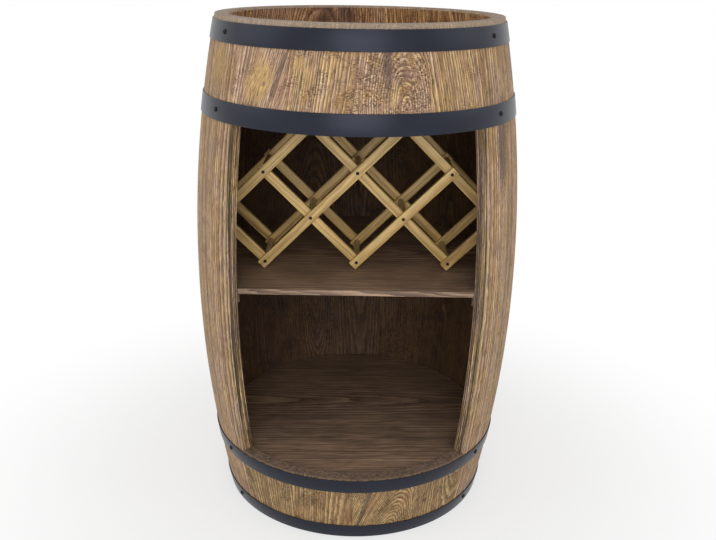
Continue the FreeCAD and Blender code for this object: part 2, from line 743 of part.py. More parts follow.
rod = Part.makeCylinder(size("rod_diameter") / 2, rod_length)
for base in (0, rod_length - bore_depth):
    rod = rod.cut(Part.makeCylinder(rod_bore_radius, bore_depth, FreeCAD.Vector(0, 0, base)))
pieces.append(stored_shape("rack_rods", copies(rod, rack_seats(front_face + lattice_depth, 1))))

rack_screw = pan_screw(
    size("rack_screw_shank"),
    size("rack_screw_length"),
    size("rack_screw_head"),
    size("rack_screw_head_height"),
)
rack_screw_seats = rack_seats(front_face, -1) + rack_seats(rear_face, 1)
pieces.append(stored_shape("rack_screws", copies(rack_screw, rack_screw_seats)))

# ---------------------------------------------------------------- checks and files

doc.recompute()
for item in doc.Objects:
    if "Invalid" in item.State or "Error" in item.State:
        raise RuntimeError(f"{item.Label} failed: {item.State}")
for piece in pieces:
    if piece.Shape.isNull() or not piece.Shape.isValid() or not piece.Shape.Solids:
        raise RuntimeError(f"{piece.Label} has no valid solid")

os.makedirs("parts", exist_ok=True)
for piece in pieces:
    piece.Shape.exportStep(f"parts/{piece.Label}.step")
    print(f"{piece.Label}: {len(piece.Shape.Solids)} solids, {piece.Shape.Volume:.0f} mm3")
print(f"{len(pieces)} nodes")
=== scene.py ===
import math

import bmesh
import bpy
from mathutils import Matrix, Vector


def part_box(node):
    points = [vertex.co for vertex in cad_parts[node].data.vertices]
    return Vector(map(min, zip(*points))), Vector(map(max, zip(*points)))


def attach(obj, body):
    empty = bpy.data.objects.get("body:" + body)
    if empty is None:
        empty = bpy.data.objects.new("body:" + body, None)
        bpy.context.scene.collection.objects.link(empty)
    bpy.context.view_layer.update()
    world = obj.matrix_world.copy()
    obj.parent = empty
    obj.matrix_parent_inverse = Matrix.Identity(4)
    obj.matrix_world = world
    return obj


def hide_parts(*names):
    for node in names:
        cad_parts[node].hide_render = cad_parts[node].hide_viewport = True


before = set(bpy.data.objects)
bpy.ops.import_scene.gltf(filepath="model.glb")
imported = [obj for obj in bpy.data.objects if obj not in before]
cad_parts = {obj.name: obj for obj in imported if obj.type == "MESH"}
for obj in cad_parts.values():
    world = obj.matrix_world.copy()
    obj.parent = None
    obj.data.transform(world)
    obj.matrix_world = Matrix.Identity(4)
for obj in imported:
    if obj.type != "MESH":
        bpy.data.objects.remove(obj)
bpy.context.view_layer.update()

# ---------------------------------------------------------------- camera
# A normal lens held a little above the rim, looking down on the cabinet and rolled by a hair.
# Places are in metres, as everywhere in this script unless a comment says mm.
CAMERA_PLACE = Vector((0.0028, -1.3121, 0.8294))
CAMERA_TILT = math.radians(70.09)
CAMERA_ROLL = math.radians(0.905)
CAMERA_SENSOR_MM = 36
CAMERA_LENS_MM = 43.76

bpy.ops.object.camera_add()
camera = bpy.context.object
camera.name = "camera"
camera.data.sensor_fit = "HORIZONTAL"
camera.data.sensor_width = CAMERA_SENSOR_MM
camera.data.lens = CAMERA_LENS_MM
turn = Matrix.Rotation(CAMERA_TILT, 4, "X") @ Matrix.Rotation(CAMERA_ROLL, 4, "Z")
camera.matrix_world = Matrix.Translation(CAMERA_PLACE) @ turn
bpy.context.scene.camera = camera

# ---------------------------------------------------------------- staves
# Fifteen softwood staves, sawn to the bulge of the barrel and bevelled inside at both ends. Four of
# them are cut short above and below the front opening. The faces are wire-brushed and stained brown.
HEIGHT = 0.750
BILGE_RADIUS = 0.248
END_RADIUS = 0.2085
STAVE_THICKNESS = 0.020
STAVE_COUNT = 15
SHORT_STAVES = 4
OPENING_BOTTOM = 0.112
OPENING_TOP = 0.615
CHIME_BEVEL = 0.003
ARRIS = 0.0008
CROZE_MIDDLE = 0.043
CROZE_WIDTH = 0.006
CROZE_DEPTH = 0.005
SAME = 1e-6
NEAR = 1e-5
SMOOTH_BELOW = math.radians(35)

# The outer and inner faces of the staves bulge along arcs about one centre, at half height.
HALF_HEIGHT = HEIGHT / 2
BULGE = BILGE_RADIUS - END_RADIUS
OUTER_ARC = (HALF_HEIGHT**2 + BULGE**2) / (2 * BULGE)
INNER_ARC = OUTER_ARC - STAVE_THICKNESS
ARC_CENTRE = BILGE_RADIUS - OUTER_ARC
STAVE_ANGLE = math.tau / STAVE_COUNT


def outside(level):
    """Outer radius of the staves at a level."""
    return ARC_CENTRE + math.sqrt(OUTER_ARC**2 - (level - HALF_HEIGHT) ** 2)


def inside(level):
    """Inner radius of the staves at a level."""
    return ARC_CENTRE + math.sqrt(INNER_ARC**2 - (level - HALF_HEIGHT) ** 2)


def shape_alone(piece):
    """Opens one piece for editing and leaves everything else unselected."""
    bpy.ops.object.select_all(action="DESELECT")
    piece.select_set(True)
    bpy.context.view_layer.objects.active = piece
    bpy.ops.object.mode_set(mode="EDIT")
    bpy.ops.mesh.select_all(action="DESELECT")


def start_shape(name):
    """Names the primitive that was just added, settles its place into its mesh and opens it."""
    piece = bpy.context.object
    piece.name = name
    piece.data.name = name
    bpy.ops.object.transform_apply(location=True, rotation=True, scale=True)
    shape_alone(piece)
    return piece


def pick(kind, wanted):
    """Selects only the verts, edges or faces of the open piece that pass a test."""
    bpy.ops.mesh.select_mode(type={"verts": "VERT", "edges": "EDGE", "faces": "FACE"}[kind])
    bpy.ops.mesh.select_all(action="DESELECT")
    shape = bmesh.from_edit_mesh(bpy.context.object.data)
    for element in getattr(shape, kind):
        if wanted(element):
            element.select_set(True)
    bmesh.update_edit_mesh(bpy.context.object.data)


def slice_shape(place, direction, drop=None):
    """Cuts the open piece along a plane, and drops and closes one side of it if told to."""
    bpy.ops.mesh.select_all(action="SELECT")
    bpy.ops.mesh.bisect(
        plane_co=place,
        plane_no=direction,
        use_fill=drop is not None,
        clear_outer=drop == "beyond",
        clear_inner=drop == "before",
    )


def finish_shape():
    """Turns all faces outwards, closes the piece and shades its curved faces smooth."""
    bpy.ops.mesh.select_all(action="SELECT")
    bpy.ops.mesh.remove_doubles(threshold=SAME)
    bpy.ops.mesh.normals_make_consistent(inside=False)
    bpy.ops.object.mode_set(mode="OBJECT")
    bpy.ops.object.shade_smooth_by_angle(angle=SMOOTH_BELOW)


def copy_shape(piece, name):
    """Copy of a piece with a mesh of its own."""
    twin = piece.copy()
    twin.data = piece.data.copy()
    twin.name = name
    twin.data.name = name
    bpy.context.collection.objects.link(twin)
    return twin


def turn_upright(piece, angle):
    """Turns a finished piece about the axis of the barrel, in its mesh."""
    bpy.ops.object.select_all(action="DESELECT")
    piece.select_set(True)
    bpy.context.view_layer.objects.active = piece
    piece.rotation_euler.z = angle
    bpy.ops.object.transform_apply(location=False, rotation=True, scale=False)


# One radial edge is spun along the bulge, a little past both ends, and cut off level there. That gives the
# section of a stave standing at +X.
BULGE_STEPS = 60
SPARE_ANGLE = 0.002
arc_reach = math.asin(HALF_HEIGHT / INNER_ARC) + SPARE_ANGLE
arc_middle = Vector((ARC_CENTRE, 0, HALF_HEIGHT))
bpy.ops.mesh.primitive_plane_add(
    size=STAVE_THICKNESS,
    location=(BILGE_RADIUS - STAVE_THICKNESS / 2, 0, HALF_HEIGHT + STAVE_THICKNESS / 2),
    rotation=(math.pi / 2, 0, 0),
)
stave = start_shape("stave")
pick("verts", lambda vert: vert.co.z > HALF_HEIGHT + STAVE_THICKNESS / 2)
bpy.ops.mesh.delete(type="VERT")
bpy.ops.mesh.select_all(action="SELECT")
bpy.ops.transform.rotate(value=arc_reach, orient_axis="Y", center_override=arc_middle)
bpy.ops.mesh.spin(steps=BULGE_STEPS, angle=-2 * arc_reach, center=arc_middle, axis=(0, 1, 0))
slice_shape((0, 0, 0), (0, 0, 1))
slice_shape((0, 0, HEIGHT), (0, 0, 1))
pick("verts", lambda vert: not -SAME < vert.co.z < HEIGHT + SAME)
bpy.ops.mesh.delete(type="VERT")

# The croze is the groove near either end that holds the head.
for middle in (CROZE_MIDDLE, HEIGHT - CROZE_MIDDLE):
    low, high = middle - CROZE_WIDTH / 2, middle + CROZE_WIDTH / 2
    root = inside(middle) + CROZE_DEPTH
    slice_shape((0, 0, low), (0, 0, 1))
    slice_shape((0, 0, high), (0, 0, 1))
    pick("faces", lambda face: low < face.calc_center_median().z < high)
    bpy.ops.mesh.bisect(plane_co=(root, 0, 0), plane_no=(1, 0, 0))
    pick(
        "faces",
        lambda face: low < face.calc_center_median().z < high and face.calc_center_median().x < root,
    )
    bpy.ops.mesh.delete(type="FACE")

# The inner corner at either end is bevelled and the outer one eased, then the section is spun into a
# stave. With an odd number of steps no corner lies on its middle line, so it stays inside the solid's box.
STAVE_STEPS = 5
for reach, cut, steps in ((inside(0), CHIME_BEVEL, 1), (END_RADIUS, ARRIS, 2)):
    pick("verts", lambda vert: min(vert.co.z, HEIGHT - vert.co.z) < SAME and abs(vert.co.x - reach) < NEAR)
    bpy.ops.mesh.bevel(offset=cut, segments=steps, affect="VERTICES")
bpy.ops.mesh.select_mode(type="FACE")
bpy.ops.mesh.select_all(action="SELECT")
bpy.ops.transform.rotate(value=STAVE_ANGLE / 2, orient_axis="Z", center_override=(0, 0, 0))
bpy.ops.mesh.spin(steps=STAVE_STEPS, angle=-STAVE_ANGLE, center=(0, 0, 0), axis=(0, 0, 1))


def on_long_arris(edge):
    """Whether an edge lies on an outer corner between two staves."""
    return all(
        abs(abs(math.atan2(vert.co.y, vert.co.x)) - STAVE_ANGLE / 2) < 10 * NEAR
        and abs(math.hypot(vert.co.x, vert.co.y) - outside(vert.co.z)) < NEAR
        for vert in edge.verts
    )


finish_shape()
shape_alone(stave)
pick("edges", on_long_arris)
bpy.ops.mesh.bevel(offset=ARRIS, segments=2, affect="EDGES")
finish_shape()

short_staves = {}
for kind, level, drop in (("upper", OPENING_TOP, "before"), ("lower", OPENING_BOTTOM, "beyond")):
    short = copy_shape(stave, kind)
    shape_alone(short)
    slice_shape((0, 0, level), (0, 0, 1), drop)
    finish_shape()
    short_staves[kind] = short

# Every stave is sawn from another log. The heart of that log lay so far behind the outer face and beside
# the middle, at half the stave's height, and leans by so many mm per mm. The growth rings are a spacing
# apart, wander sideways, and show with a figure between 0 and 1. A knot, a dark spot where water stood and
# a golden spot each have a place across and up the stave and a radius, and run along the grain by so many
# times that. On full_stave_01 the dark spot below the upper hoop is partly darker wood and partly painted
# shadow of the hoop. All of this is in mm. The stain is darker or paler by a tone, more golden by a warmth,
# and the marks of the brush are more or fewer by a chatter. Below the opening the darker tone is partly
# painted shade.
STAVES = {
    # Its dark spot below the upper hoop is partly darker wood and partly painted shadow of the hoop.
    "full_stave_01": dict(
        heart=(60, -60), spacing=2.6, wander=2, tone=-0.15, chatter=-0.5, dark=(-8, 585, 16, 3)
    ),
    "full_stave_02": dict(heart=(45, 12), lean=(0.05, 0.02), spacing=3.6, tone=-0.05, knot=(-15, 530, 7, 1)),
    "full_stave_03": dict(heart=(50, -60), lean=(-0.02, 0.01), tone=0.05, warmth=0.5),
    "full_stave_04": dict(
        heart=(38, 8), lean=(0.06, 0.0), spacing=4.0, tone=-0.08, warmth=0.6, knot=(10, 210, 9, 1)
    ),
    "full_stave_05": dict(heart=(55, 50), lean=(0.02, 0.02), tone=0.05, warmth=0.8, chatter=0.4),
    "full_stave_06": dict(
        heart=(42, -6), lean=(-0.05, 0.01), spacing=3.6, figure=1.0,
        knot=(17, 732, 8, 1), dark=(22, 735, 18, 1.5),
    ),
    "full_stave_07": dict(
        heart=(40, -15), lean=(0.15, 0.0), spacing=3.6, figure=1.0,
        knot=(-6, 752, 7, 1), dark=(-25, 735, 14, 1.5),
    ),
    "full_stave_08": dict(heart=(60, 45), lean=(-0.02, 0.02), tone=-0.08, warmth=-0.2),
    "full_stave_09": dict(heart=(42, 5), lean=(0.05, -0.01), spacing=3.6, tone=0.05, warmth=0.2, chatter=0.4),
    "full_stave_10": dict(heart=(50, -40), lean=(0.02, 0.02), knot=(-12, 300, 6, 1)),
    "full_stave_11": dict(
        heart=(60, 60), spacing=2.6, wander=2, tone=-0.17, chatter=-0.5, gold=(2, 690, 24, 1)
    ),
    "upper_stave_1": dict(
        heart=(40, -55), lean=(0.1, 0.3), warmth=-0.5,
        knot=(12, 673, 2.5, 1), gold=(1, 674, 22, 1), dark=(33, 685, 4, 9),
    ),
    "upper_stave_2": dict(
        heart=(45, 60), lean=(0.0, 0.12), spacing=3.2, wander=5, chatter=0.5,
        dark=(-5, 690, 1.5, 20), gold=(-30, 700, 8, 1),
    ),
    "upper_stave_3": dict(
        heart=(15, 14), lean=(0.4, 0.0), warmth=-0.2, chatter=0.5,
        knot=(14, 690, 6, 1), dark=(-10, 695, 7, 4),
    ),
    "upper_stave_4": dict(
        heart=(40, -65), lean=(0.0, -0.12), spacing=3.2, figure=0.9, tone=-0.12, warmth=0.1
    ),
    # The staves below the opening have a darker tone: partly darker stain, partly painted shade.
    "lower_stave_1": dict(heart=(40, -45), lean=(0.1, 0.1), tone=-0.28, warmth=0.7),
    "lower_stave_2": dict(heart=(60, 50), lean=(0.05, 0.02), tone=-0.24, warmth=0.7, chatter=0.3),
    "lower_stave_3": dict(
        heart=(20, 20), lean=(0.35, 0.25), spacing=2.4, figure=1.0, tone=-0.2, warmth=0.8,
        dark=(-28, 60, 4, 9),
    ),
    "lower_stave_4": dict(heart=(45, 35), lean=(-0.15, 0.1), tone=-0.32, warmth=0.8),
}
FAR_OFF = (0, -1000, 1, 1)


def stave_azimuth(name):
    """Angle of a stave about the axis, from the front towards +X."""
    number = int(name.split("_")[-1])
    if name.startswith("full"):
        return (SHORT_STAVES / 2 + number - 0.5) * STAVE_ANGLE
    return (number - 0.5 - SHORT_STAVES / 2) * STAVE_ANGLE


def place_in_stave(co):
    """Depth under the outer face, place across and place along of a point of a stave at +X, in mm."""
    radius = math.hypot(co.x, co.y)
    depth = OUTER_ARC - math.hypot(radius - ARC_CENTRE, co.z - HALF_HEIGHT)
    return 1000 * depth, 1000 * radius * math.atan2(co.y, co.x), 1000 * co.z


def mark_wood(
    piece,
    log,
    place,
    heart,
    lean=(0, 0),
    spacing=3.0,
    wander=3,
    figure=0.8,
    tone=0,
    warmth=0,
    chatter=0,
    knot=FAR_OFF,
    dark=FAR_OFF,
    gold=FAR_OFF,
):
    """Writes on every point of a wooden piece where it lies in its log and how that wood looks.

    The log's number moves the piece along it by as many metres, so that no two pieces look alike.
    """
    places = [place(vert.co) for vert in piece.data.vertices]
    highest = max(along for _, _, along in places)
    middle = (min(along for _, _, along in places) + highest) / 2
    marks = {name: [] for name in ("board", "face", "growth", "stain", "knot", "dark", "gold")}
    for depth, across, along in places:
        heart_depth = heart[0] + lean[0] * (along - middle)
        heart_across = heart[1] + lean[1] * (along - middle)
        marks["board"].append((depth - heart_depth, across - heart_across, along + 1000 * log))
        marks["face"].append((depth, highest - along, along))
        marks["growth"].append((1 / spacing, wander, figure))
        marks["stain"].append((tone, warmth, chatter))
        for name, spot in (("knot", knot), ("dark", dark), ("gold", gold)):
            spot_across, spot_along, radius, stretch = spot
            rise = along - spot_along
            beside = across - spot_across - lean[1] * rise
            marks[name].append((beside / radius, rise / radius / stretch, radius))
    for name, vectors in marks.items():
        attribute = piece.data.attributes.new(name, "FLOAT_VECTOR", "POINT")
        for entry, vector in zip(attribute.data, vectors):
            entry.vector = vector


def hex_colour(text):
    """Linear colour of an sRGB hex value."""
    channels = [int(text[place : place + 2], 16) / 255 for place in (1, 3, 5)]
    return [c / 12.92 if c <= 0.04045 else ((c + 0.055) / 1.055) ** 2.4 for c in channels] + [1.0]


def add(tree, kind, sockets, output=0, **settings):
    """Adds a shader node with its settings and its values or links, and returns one output, if any."""
    node = tree.nodes.new("ShaderNode" + kind)
    for name, value in settings.items():
        setattr(node, name, value)
    for place, value in sockets.items():
        if isinstance(value, bpy.types.NodeSocket):
            tree.links.new(value, node.inputs[place])
        else:
            node.inputs[place].default_value = value
    return node.outputs[output] if node.outputs else None


def new_material(name):
    """Empty material and its node tree."""
    material = bpy.data.materials.new(name)
    material.use_nodes = True
    material.node_tree.nodes.clear()
    return material, material.node_tree


# Growth rings are shells about the heart of the log. Brushing takes the soft early wood out of them, so
# the hard late wood stands up as light ridges and the stain gathers in the grooves between. Here and in
# every wood below, a pattern is a noise on the place in mm, times one over the pattern's size through,
# across and along the board.
def growth_rings(tree, place, wander, scale):
    """Where a point lies in its growth ring, and the ring's number.

    The place is in mm from the heart. The rings wander by so many mm, and the scale is rings per mm.
    """
    slow = add(tree, "VectorMath", {0: place, 1: (1 / 45, 1 / 45, 1 / 190)}, operation="MULTIPLY")
    slow = add(tree, "TexNoise", {"Vector": slow, "Scale": 1.0}, output="Color")
    slow = add(tree, "VectorMath", {0: slow, 1: (-0.5, -0.5, -0.5)}, operation="ADD")
    slow = add(tree, "VectorMath", {0: slow, "Scale": wander}, operation="SCALE")
    quick = add(tree, "VectorMath", {0: place, 1: (1 / 5, 1 / 5, 1 / 22)}, operation="MULTIPLY")
    quick = add(tree, "TexNoise", {"Vector": quick, "Scale": 1.0}, output="Color")
    quick = add(tree, "VectorMath", {0: quick, 1: (-0.5, -0.5, -0.5)}, operation="ADD")
    quick = add(tree, "VectorMath", {0: quick, 1: (2.2, 2.2, 0)}, operation="MULTIPLY")
    bent = add(tree, "VectorMath", {0: place, 1: slow}, operation="ADD")
    bent = add(tree, "VectorMath", {0: bent, 1: quick}, operation="ADD")
    bent = add(tree, "VectorMath", {0: bent, 1: (1, 1, 0)}, operation="MULTIPLY")
    radius = add(tree, "VectorMath", {0: bent}, output="Value", operation="LENGTH")
    years = add(tree, "Math", {0: radius, 1: 1 / 14}, operation="MULTIPLY")
    years = add(tree, "TexNoise", {"W": years, "Scale": 1.0}, noise_dimensions="1D")
    rings = add(tree, "Math", {0: radius, 1: scale}, operation="MULTIPLY")
    rings = add(tree, "Math", {0: years, 1: 2.5, 2: rings}, operation="MULTIPLY_ADD")
    return add(tree, "Math", {0: rings}, operation="FRACT"), add(tree, "Math", {0: rings}, operation="FLOOR")


SOFT = {"interpolation_type": "SMOOTHSTEP"}
TINT = {"output": 2, "data_type": "RGBA"}

# Brushed stained softwood: dull, warm and streaky, with a grain that can be felt. Places are in mm.
INNER_FACE = 1000 * STAVE_THICKNESS
RECESS_BOTTOM = {1: 698, 2: 702}
SANDED_FROM = 744
barrel_wood, tree = new_material("brushed_stained_softwood")
board, face, growth, stain, knot, dark, gold = [
    add(tree, "Attribute", {}, output="Vector", attribute_name=name)
    for name in ("board", "face", "growth", "stain", "knot", "dark", "gold")
]
depth, below_end, along = [add(tree, "SeparateXYZ", {0: face}, output=axis) for axis in "XYZ"]
ring_scale, wander, figure = [add(tree, "SeparateXYZ", {0: growth}, output=axis) for axis in "XYZ"]
tone, warmth, brushing = [add(tree, "SeparateXYZ", {0: stain}, output=axis) for axis in "XYZ"]

# The grain opens round a knot: the closer to it, the more the grain is pushed aside.
knot_side, knot_radius = [add(tree, "SeparateXYZ", {0: knot}, output=axis) for axis in "XZ"]
knot_reach = add(tree, "VectorMath", {0: knot, 1: (1, 0.6, 0)}, operation="MULTIPLY")
knot_reach = add(tree, "VectorMath", {0: knot_reach}, output="Value", operation="LENGTH")
knot_pull = add(tree, "Math", {0: knot_reach, 1: 2.0}, operation="POWER")
knot_pull = add(tree, "Math", {0: knot_pull, 1: -0.25}, operation="MULTIPLY")
knot_pull = add(tree, "Math", {0: knot_pull}, operation="EXPONENT")
for factor in (knot_side, knot_radius):
    knot_pull = add(tree, "Math", {0: knot_pull, 1: factor}, operation="MULTIPLY")
grown = add(tree, "VectorMath", {0: knot_pull, 1: (0, -0.8, 0), 2: board}, operation="MULTIPLY_ADD")

# Late wood stands up in pale ridges, with a dark groove between them that is deeper in some years.
part_of_ring, ring = growth_rings(tree, grown, wander, ring_scale)
rise = add(tree, "MapRange", {0: part_of_ring, 1: 0.3, 2: 0.65}, **SOFT)
fall = add(tree, "MapRange", {0: part_of_ring, 1: 1.0, 2: 0.85, 4: 0.9}, **SOFT)
ridge = add(tree, "Math", {0: rise, 1: fall}, operation="MULTIPLY")
groove_start = add(tree, "MapRange", {0: part_of_ring, 1: 0.88, 2: 1.0}, **SOFT)
groove_end = add(tree, "MapRange", {0: part_of_ring, 1: 0.25, 2: 0.0}, **SOFT)
groove = add(tree, "Math", {0: groove_start, 1: groove_end}, operation="MAXIMUM")
year = add(tree, "TexWhiteNoise", {"W": ring}, noise_dimensions="1D")
year = add(tree, "MapRange", {0: year, 3: 0.3, 4: 0.95})
groove = add(tree, "Math", {0: groove, 1: year}, operation="MULTIPLY")
# Every so often a few rings together drank more of the stain.
streak = add(tree, "TexNoise", {"W": ring, "Scale": 0.37, "Detail": 1.0}, noise_dimensions="1D")
streak = add(tree, "MapRange", {0: streak, 1: 0.5, 2: 0.66, 4: 0.55}, **SOFT)

# Fibres are drawn 1.5 mm apart, coarser than they are, so that they show. Short cracks lie among them,
# and finger-wide bands run the length of the stave.
fibre = add(tree, "VectorMath", {0: grown, 1: (1 / 1.5, 1 / 1.5, 1 / 14)}, operation="MULTIPLY")
fibre = add(tree, "TexNoise", {"Vector": fibre, "Scale": 1.0})
crack = add(tree, "VectorMath", {0: grown, 1: (1 / 2.2, 1 / 2.2, 1 / 9)}, operation="MULTIPLY")
crack = add(tree, "TexNoise", {"Vector": crack, "Scale": 1.0, "Detail": 1.0})
crack = add(tree, "MapRange", {0: crack, 1: 0.58, 2: 0.7}, **SOFT)
mottle = add(tree, "VectorMath", {0: board, 1: (1 / 3.5, 1 / 3.5, 1 / 4.5)}, operation="MULTIPLY")
mottle = add(tree, "TexNoise", {"Vector": mottle, "Scale": 1.0})
bands = add(tree, "VectorMath", {0: grown, 1: (1 / 8, 1 / 8, 1 / 260)}, operation="MULTIPLY")
bands = add(tree, "TexNoise", {"Vector": bands, "Scale": 1.0}, output="Color")
band, band_gold, band_dark = [add(tree, "SeparateXYZ", {0: bands}, output=axis) for axis in "XYZ"]
patches = add(tree, "VectorMath", {0: board, 1: (1 / 26, 1 / 26, 1 / 34)}, operation="MULTIPLY")
patches = add(tree, "TexNoise", {"Vector": patches, "Scale": 1.0, "Detail": 1.0}, output="Color")
patch_brushed, patch_gold, patch_dark = [
    add(tree, "SeparateXYZ", {0: patches}, output=axis) for axis in "XYZ"
]
# The wire brush chatters and leaves short level marks, in patches, but not on the sawn sides.
sawn_start = add(tree, "MapRange", {0: depth, 1: 0.8, 2: 2.0}, **SOFT)
sawn_end = add(tree, "MapRange", {0: depth, 1: INNER_FACE - 0.2, 2: INNER_FACE - 1.0}, **SOFT)
sawn = add(tree, "Math", {0: sawn_start, 1: sawn_end}, operation="MULTIPLY")
patch_brushed = add(tree, "Math", {0: brushing, 1: 0.3, 2: patch_brushed}, operation="MULTIPLY_ADD")
patch_brushed = add(tree, "MapRange", {0: patch_brushed, 1: 0.5, 2: 0.68}, **SOFT)
chatter = add(tree, "VectorMath", {0: board, 1: (1 / 4, 1 / 4, 1 / 1.6)}, operation="MULTIPLY")
chatter = add(tree, "TexNoise", {"Vector": chatter, "Scale": 1.0, "Detail": 1.0})
chatter = add(tree, "MapRange", {0: chatter, 1: 0.45, 2: 0.62, 4: 0.75}, **SOFT)
brushed = add(tree, "Math", {0: 1.0, 1: sawn}, operation="SUBTRACT")
for factor in (patch_brushed, brushed):
    chatter = add(tree, "Math", {0: chatter, 1: factor}, operation="MULTIPLY")

# The golden and the dark spot are frayed at the edge.
spots = []
for spot in (gold, dark):
    near = add(tree, "VectorMath", {0: spot, 1: (1, 0.8, 0)}, operation="MULTIPLY")
    near = add(tree, "VectorMath", {0: near}, output="Value", operation="LENGTH")
    near = add(tree, "Math", {0: mottle, 1: 0.8, 2: near}, operation="MULTIPLY_ADD")
    spots.append(add(tree, "MapRange", {0: near, 1: 1.7, 2: 0.95}, **SOFT))
gold_spot, dark_spot = spots

# The rings show little in a golden spot and on the inside below the top head, and most on the sawn sides.
calm = add(tree, "MapRange", {0: gold_spot, 3: 1.0, 4: 0.15})
inner = add(tree, "MapRange", {0: depth, 1: INNER_FACE - 1.0, 2: INNER_FACE - 0.2})
inner_figure = add(tree, "MapRange", {0: along, **RECESS_BOTTOM, 3: 0.3, 4: 0.8})
inner_figure = add(tree, "Mix", {0: inner, 2: 1.0, 3: inner_figure})
for factor in (calm, inner_figure):
    figure = add(tree, "Math", {0: figure, 1: factor}, operation="MULTIPLY")
streak = add(tree, "Math", {0: streak, 1: figure}, operation="MULTIPLY")
clear = add(tree, "VectorMath", {0: board, 1: (1 / 14, 1 / 14, 1 / 50)}, operation="MULTIPLY")
clear = add(tree, "TexNoise", {"Vector": clear, "Scale": 1.0})
clear = add(tree, "MapRange", {0: clear, 1: 0.3, 2: 0.65, 3: 0.35}, **SOFT)
sawn_figure = add(tree, "MapRange", {0: depth, 1: 0.8, 2: 2.0, 3: 1.0, 4: 2.2})
for factor in (clear, sawn_figure):
    figure = add(tree, "Math", {0: figure, 1: factor}, operation="MULTIPLY")
ridge = add(tree, "Math", {0: ridge, 1: figure}, operation="MULTIPLY")
groove = add(tree, "Math", {0: groove, 1: figure}, operation="MULTIPLY")

colour = add(tree, "Mix", {0: ridge, 6: hex_colour("#A98D70"), 7: hex_colour("#E8D8B8")}, **TINT)
for share, tint in ((groove, "#473424"), (chatter, "#59432F"), (streak, "#7C5741")):
    colour = add(tree, "Mix", {0: share, 6: colour, 7: hex_colour(tint)}, **TINT)
# The stain is a thin glaze, golden here and pinkish there.
golden = add(tree, "Mix", {0: 0.55, 2: patch_gold, 3: band_gold})
golden = add(tree, "Math", {0: warmth, 1: 0.25, 2: golden}, operation="MULTIPLY_ADD")
golden = add(tree, "MapRange", {0: golden, 1: 0.38, 2: 0.62}, **SOFT)
golden = add(tree, "Math", {0: golden, 1: gold_spot}, operation="MAXIMUM")
glaze = add(tree, "Mix", {0: golden, 6: hex_colour("#F7E8E7"), 7: hex_colour("#FCECC8")}, **TINT)
colour = add(tree, "VectorMath", {0: colour, 1: glaze}, operation="MULTIPLY")
gold_share = add(tree, "Math", {0: gold_spot, 1: 0.4}, operation="MULTIPLY")
# The dark spot is a mark in the wood. On full_stave_01 it is partly painted shadow below the upper hoop.
dark_share = add(tree, "Math", {0: dark_spot, 1: 0.7}, operation="MULTIPLY")
knot_share = add(tree, "MapRange", {0: knot_reach, 1: 1.1, 2: 0.6, 4: 0.75}, **SOFT)
for share, tint in ((gold_share, "#CDAC74"), (dark_share, "#5E4A40"), (knot_share, "#7A5A4C")):
    colour = add(tree, "Mix", {0: share, 6: colour, 7: hex_colour(tint)}, **TINT)

# Sawn sides took more stain than the faces. The inside is darkened as painted shade, deeply below the top
# head and a little above it.
sawn_coat = add(tree, "VectorMath", {0: board, 1: (1 / 4.5, 1 / 4.5, 1 / 200)}, operation="MULTIPLY")
sawn_coat = add(tree, "TexNoise", {"Vector": sawn_coat, "Scale": 1.0})
sawn_coat = add(tree, "MapRange", {0: sawn_coat, 1: 0.42, 2: 0.56, 3: 0.38, 4: 1.08}, **SOFT)
sawn_coat = add(tree, "Mix", {0: sawn, 2: 1.0, 3: sawn_coat})
# Painted shade on the inner faces: darkest below the top head, lighter in the recess above it.
inner_painted_shade = add(tree, "MapRange", {0: along, **RECESS_BOTTOM, 3: 0.21, 4: 0.82})
inner_painted_shade = add(tree, "Mix", {0: inner, 2: 1.0, 3: inner_painted_shade})
# The tone also carries painted shade on the staves below the opening.
shade = add(tree, "Math", {0: tone, 1: 1.0}, operation="ADD")
for factor in (
    add(tree, "MapRange", {0: fibre, 1: 0.3, 2: 0.7, 3: 0.67, 4: 1.44}),
    add(tree, "MapRange", {0: crack, 3: 1.0, 4: 0.6}),
    add(tree, "MapRange", {0: mottle, 1: 0.3, 2: 0.7, 3: 0.92, 4: 1.08}),
    add(tree, "MapRange", {0: band, 1: 0.3, 2: 0.7, 3: 0.88, 4: 1.1}),
    add(tree, "MapRange", {0: band_dark, 1: 0.55, 2: 0.68, 3: 1.0, 4: 0.84}),
    add(tree, "MapRange", {0: patch_dark, 1: 0.5, 2: 0.75, 3: 1.03, 4: 0.78}),
    sawn_coat,
    inner_painted_shade,
):
    shade = add(tree, "Math", {0: shade, 1: factor}, operation="MULTIPLY")
shade = add(tree, "CombineXYZ", {0: shade, 1: shade, 2: shade})
inner_glaze = add(tree, "Mix", {0: inner, 6: hex_colour("#FFFFFF"), 7: hex_colour("#FFEADC")}, **TINT)
for factor in (shade, inner_glaze):
    colour = add(tree, "VectorMath", {0: colour, 1: factor}, operation="MULTIPLY")

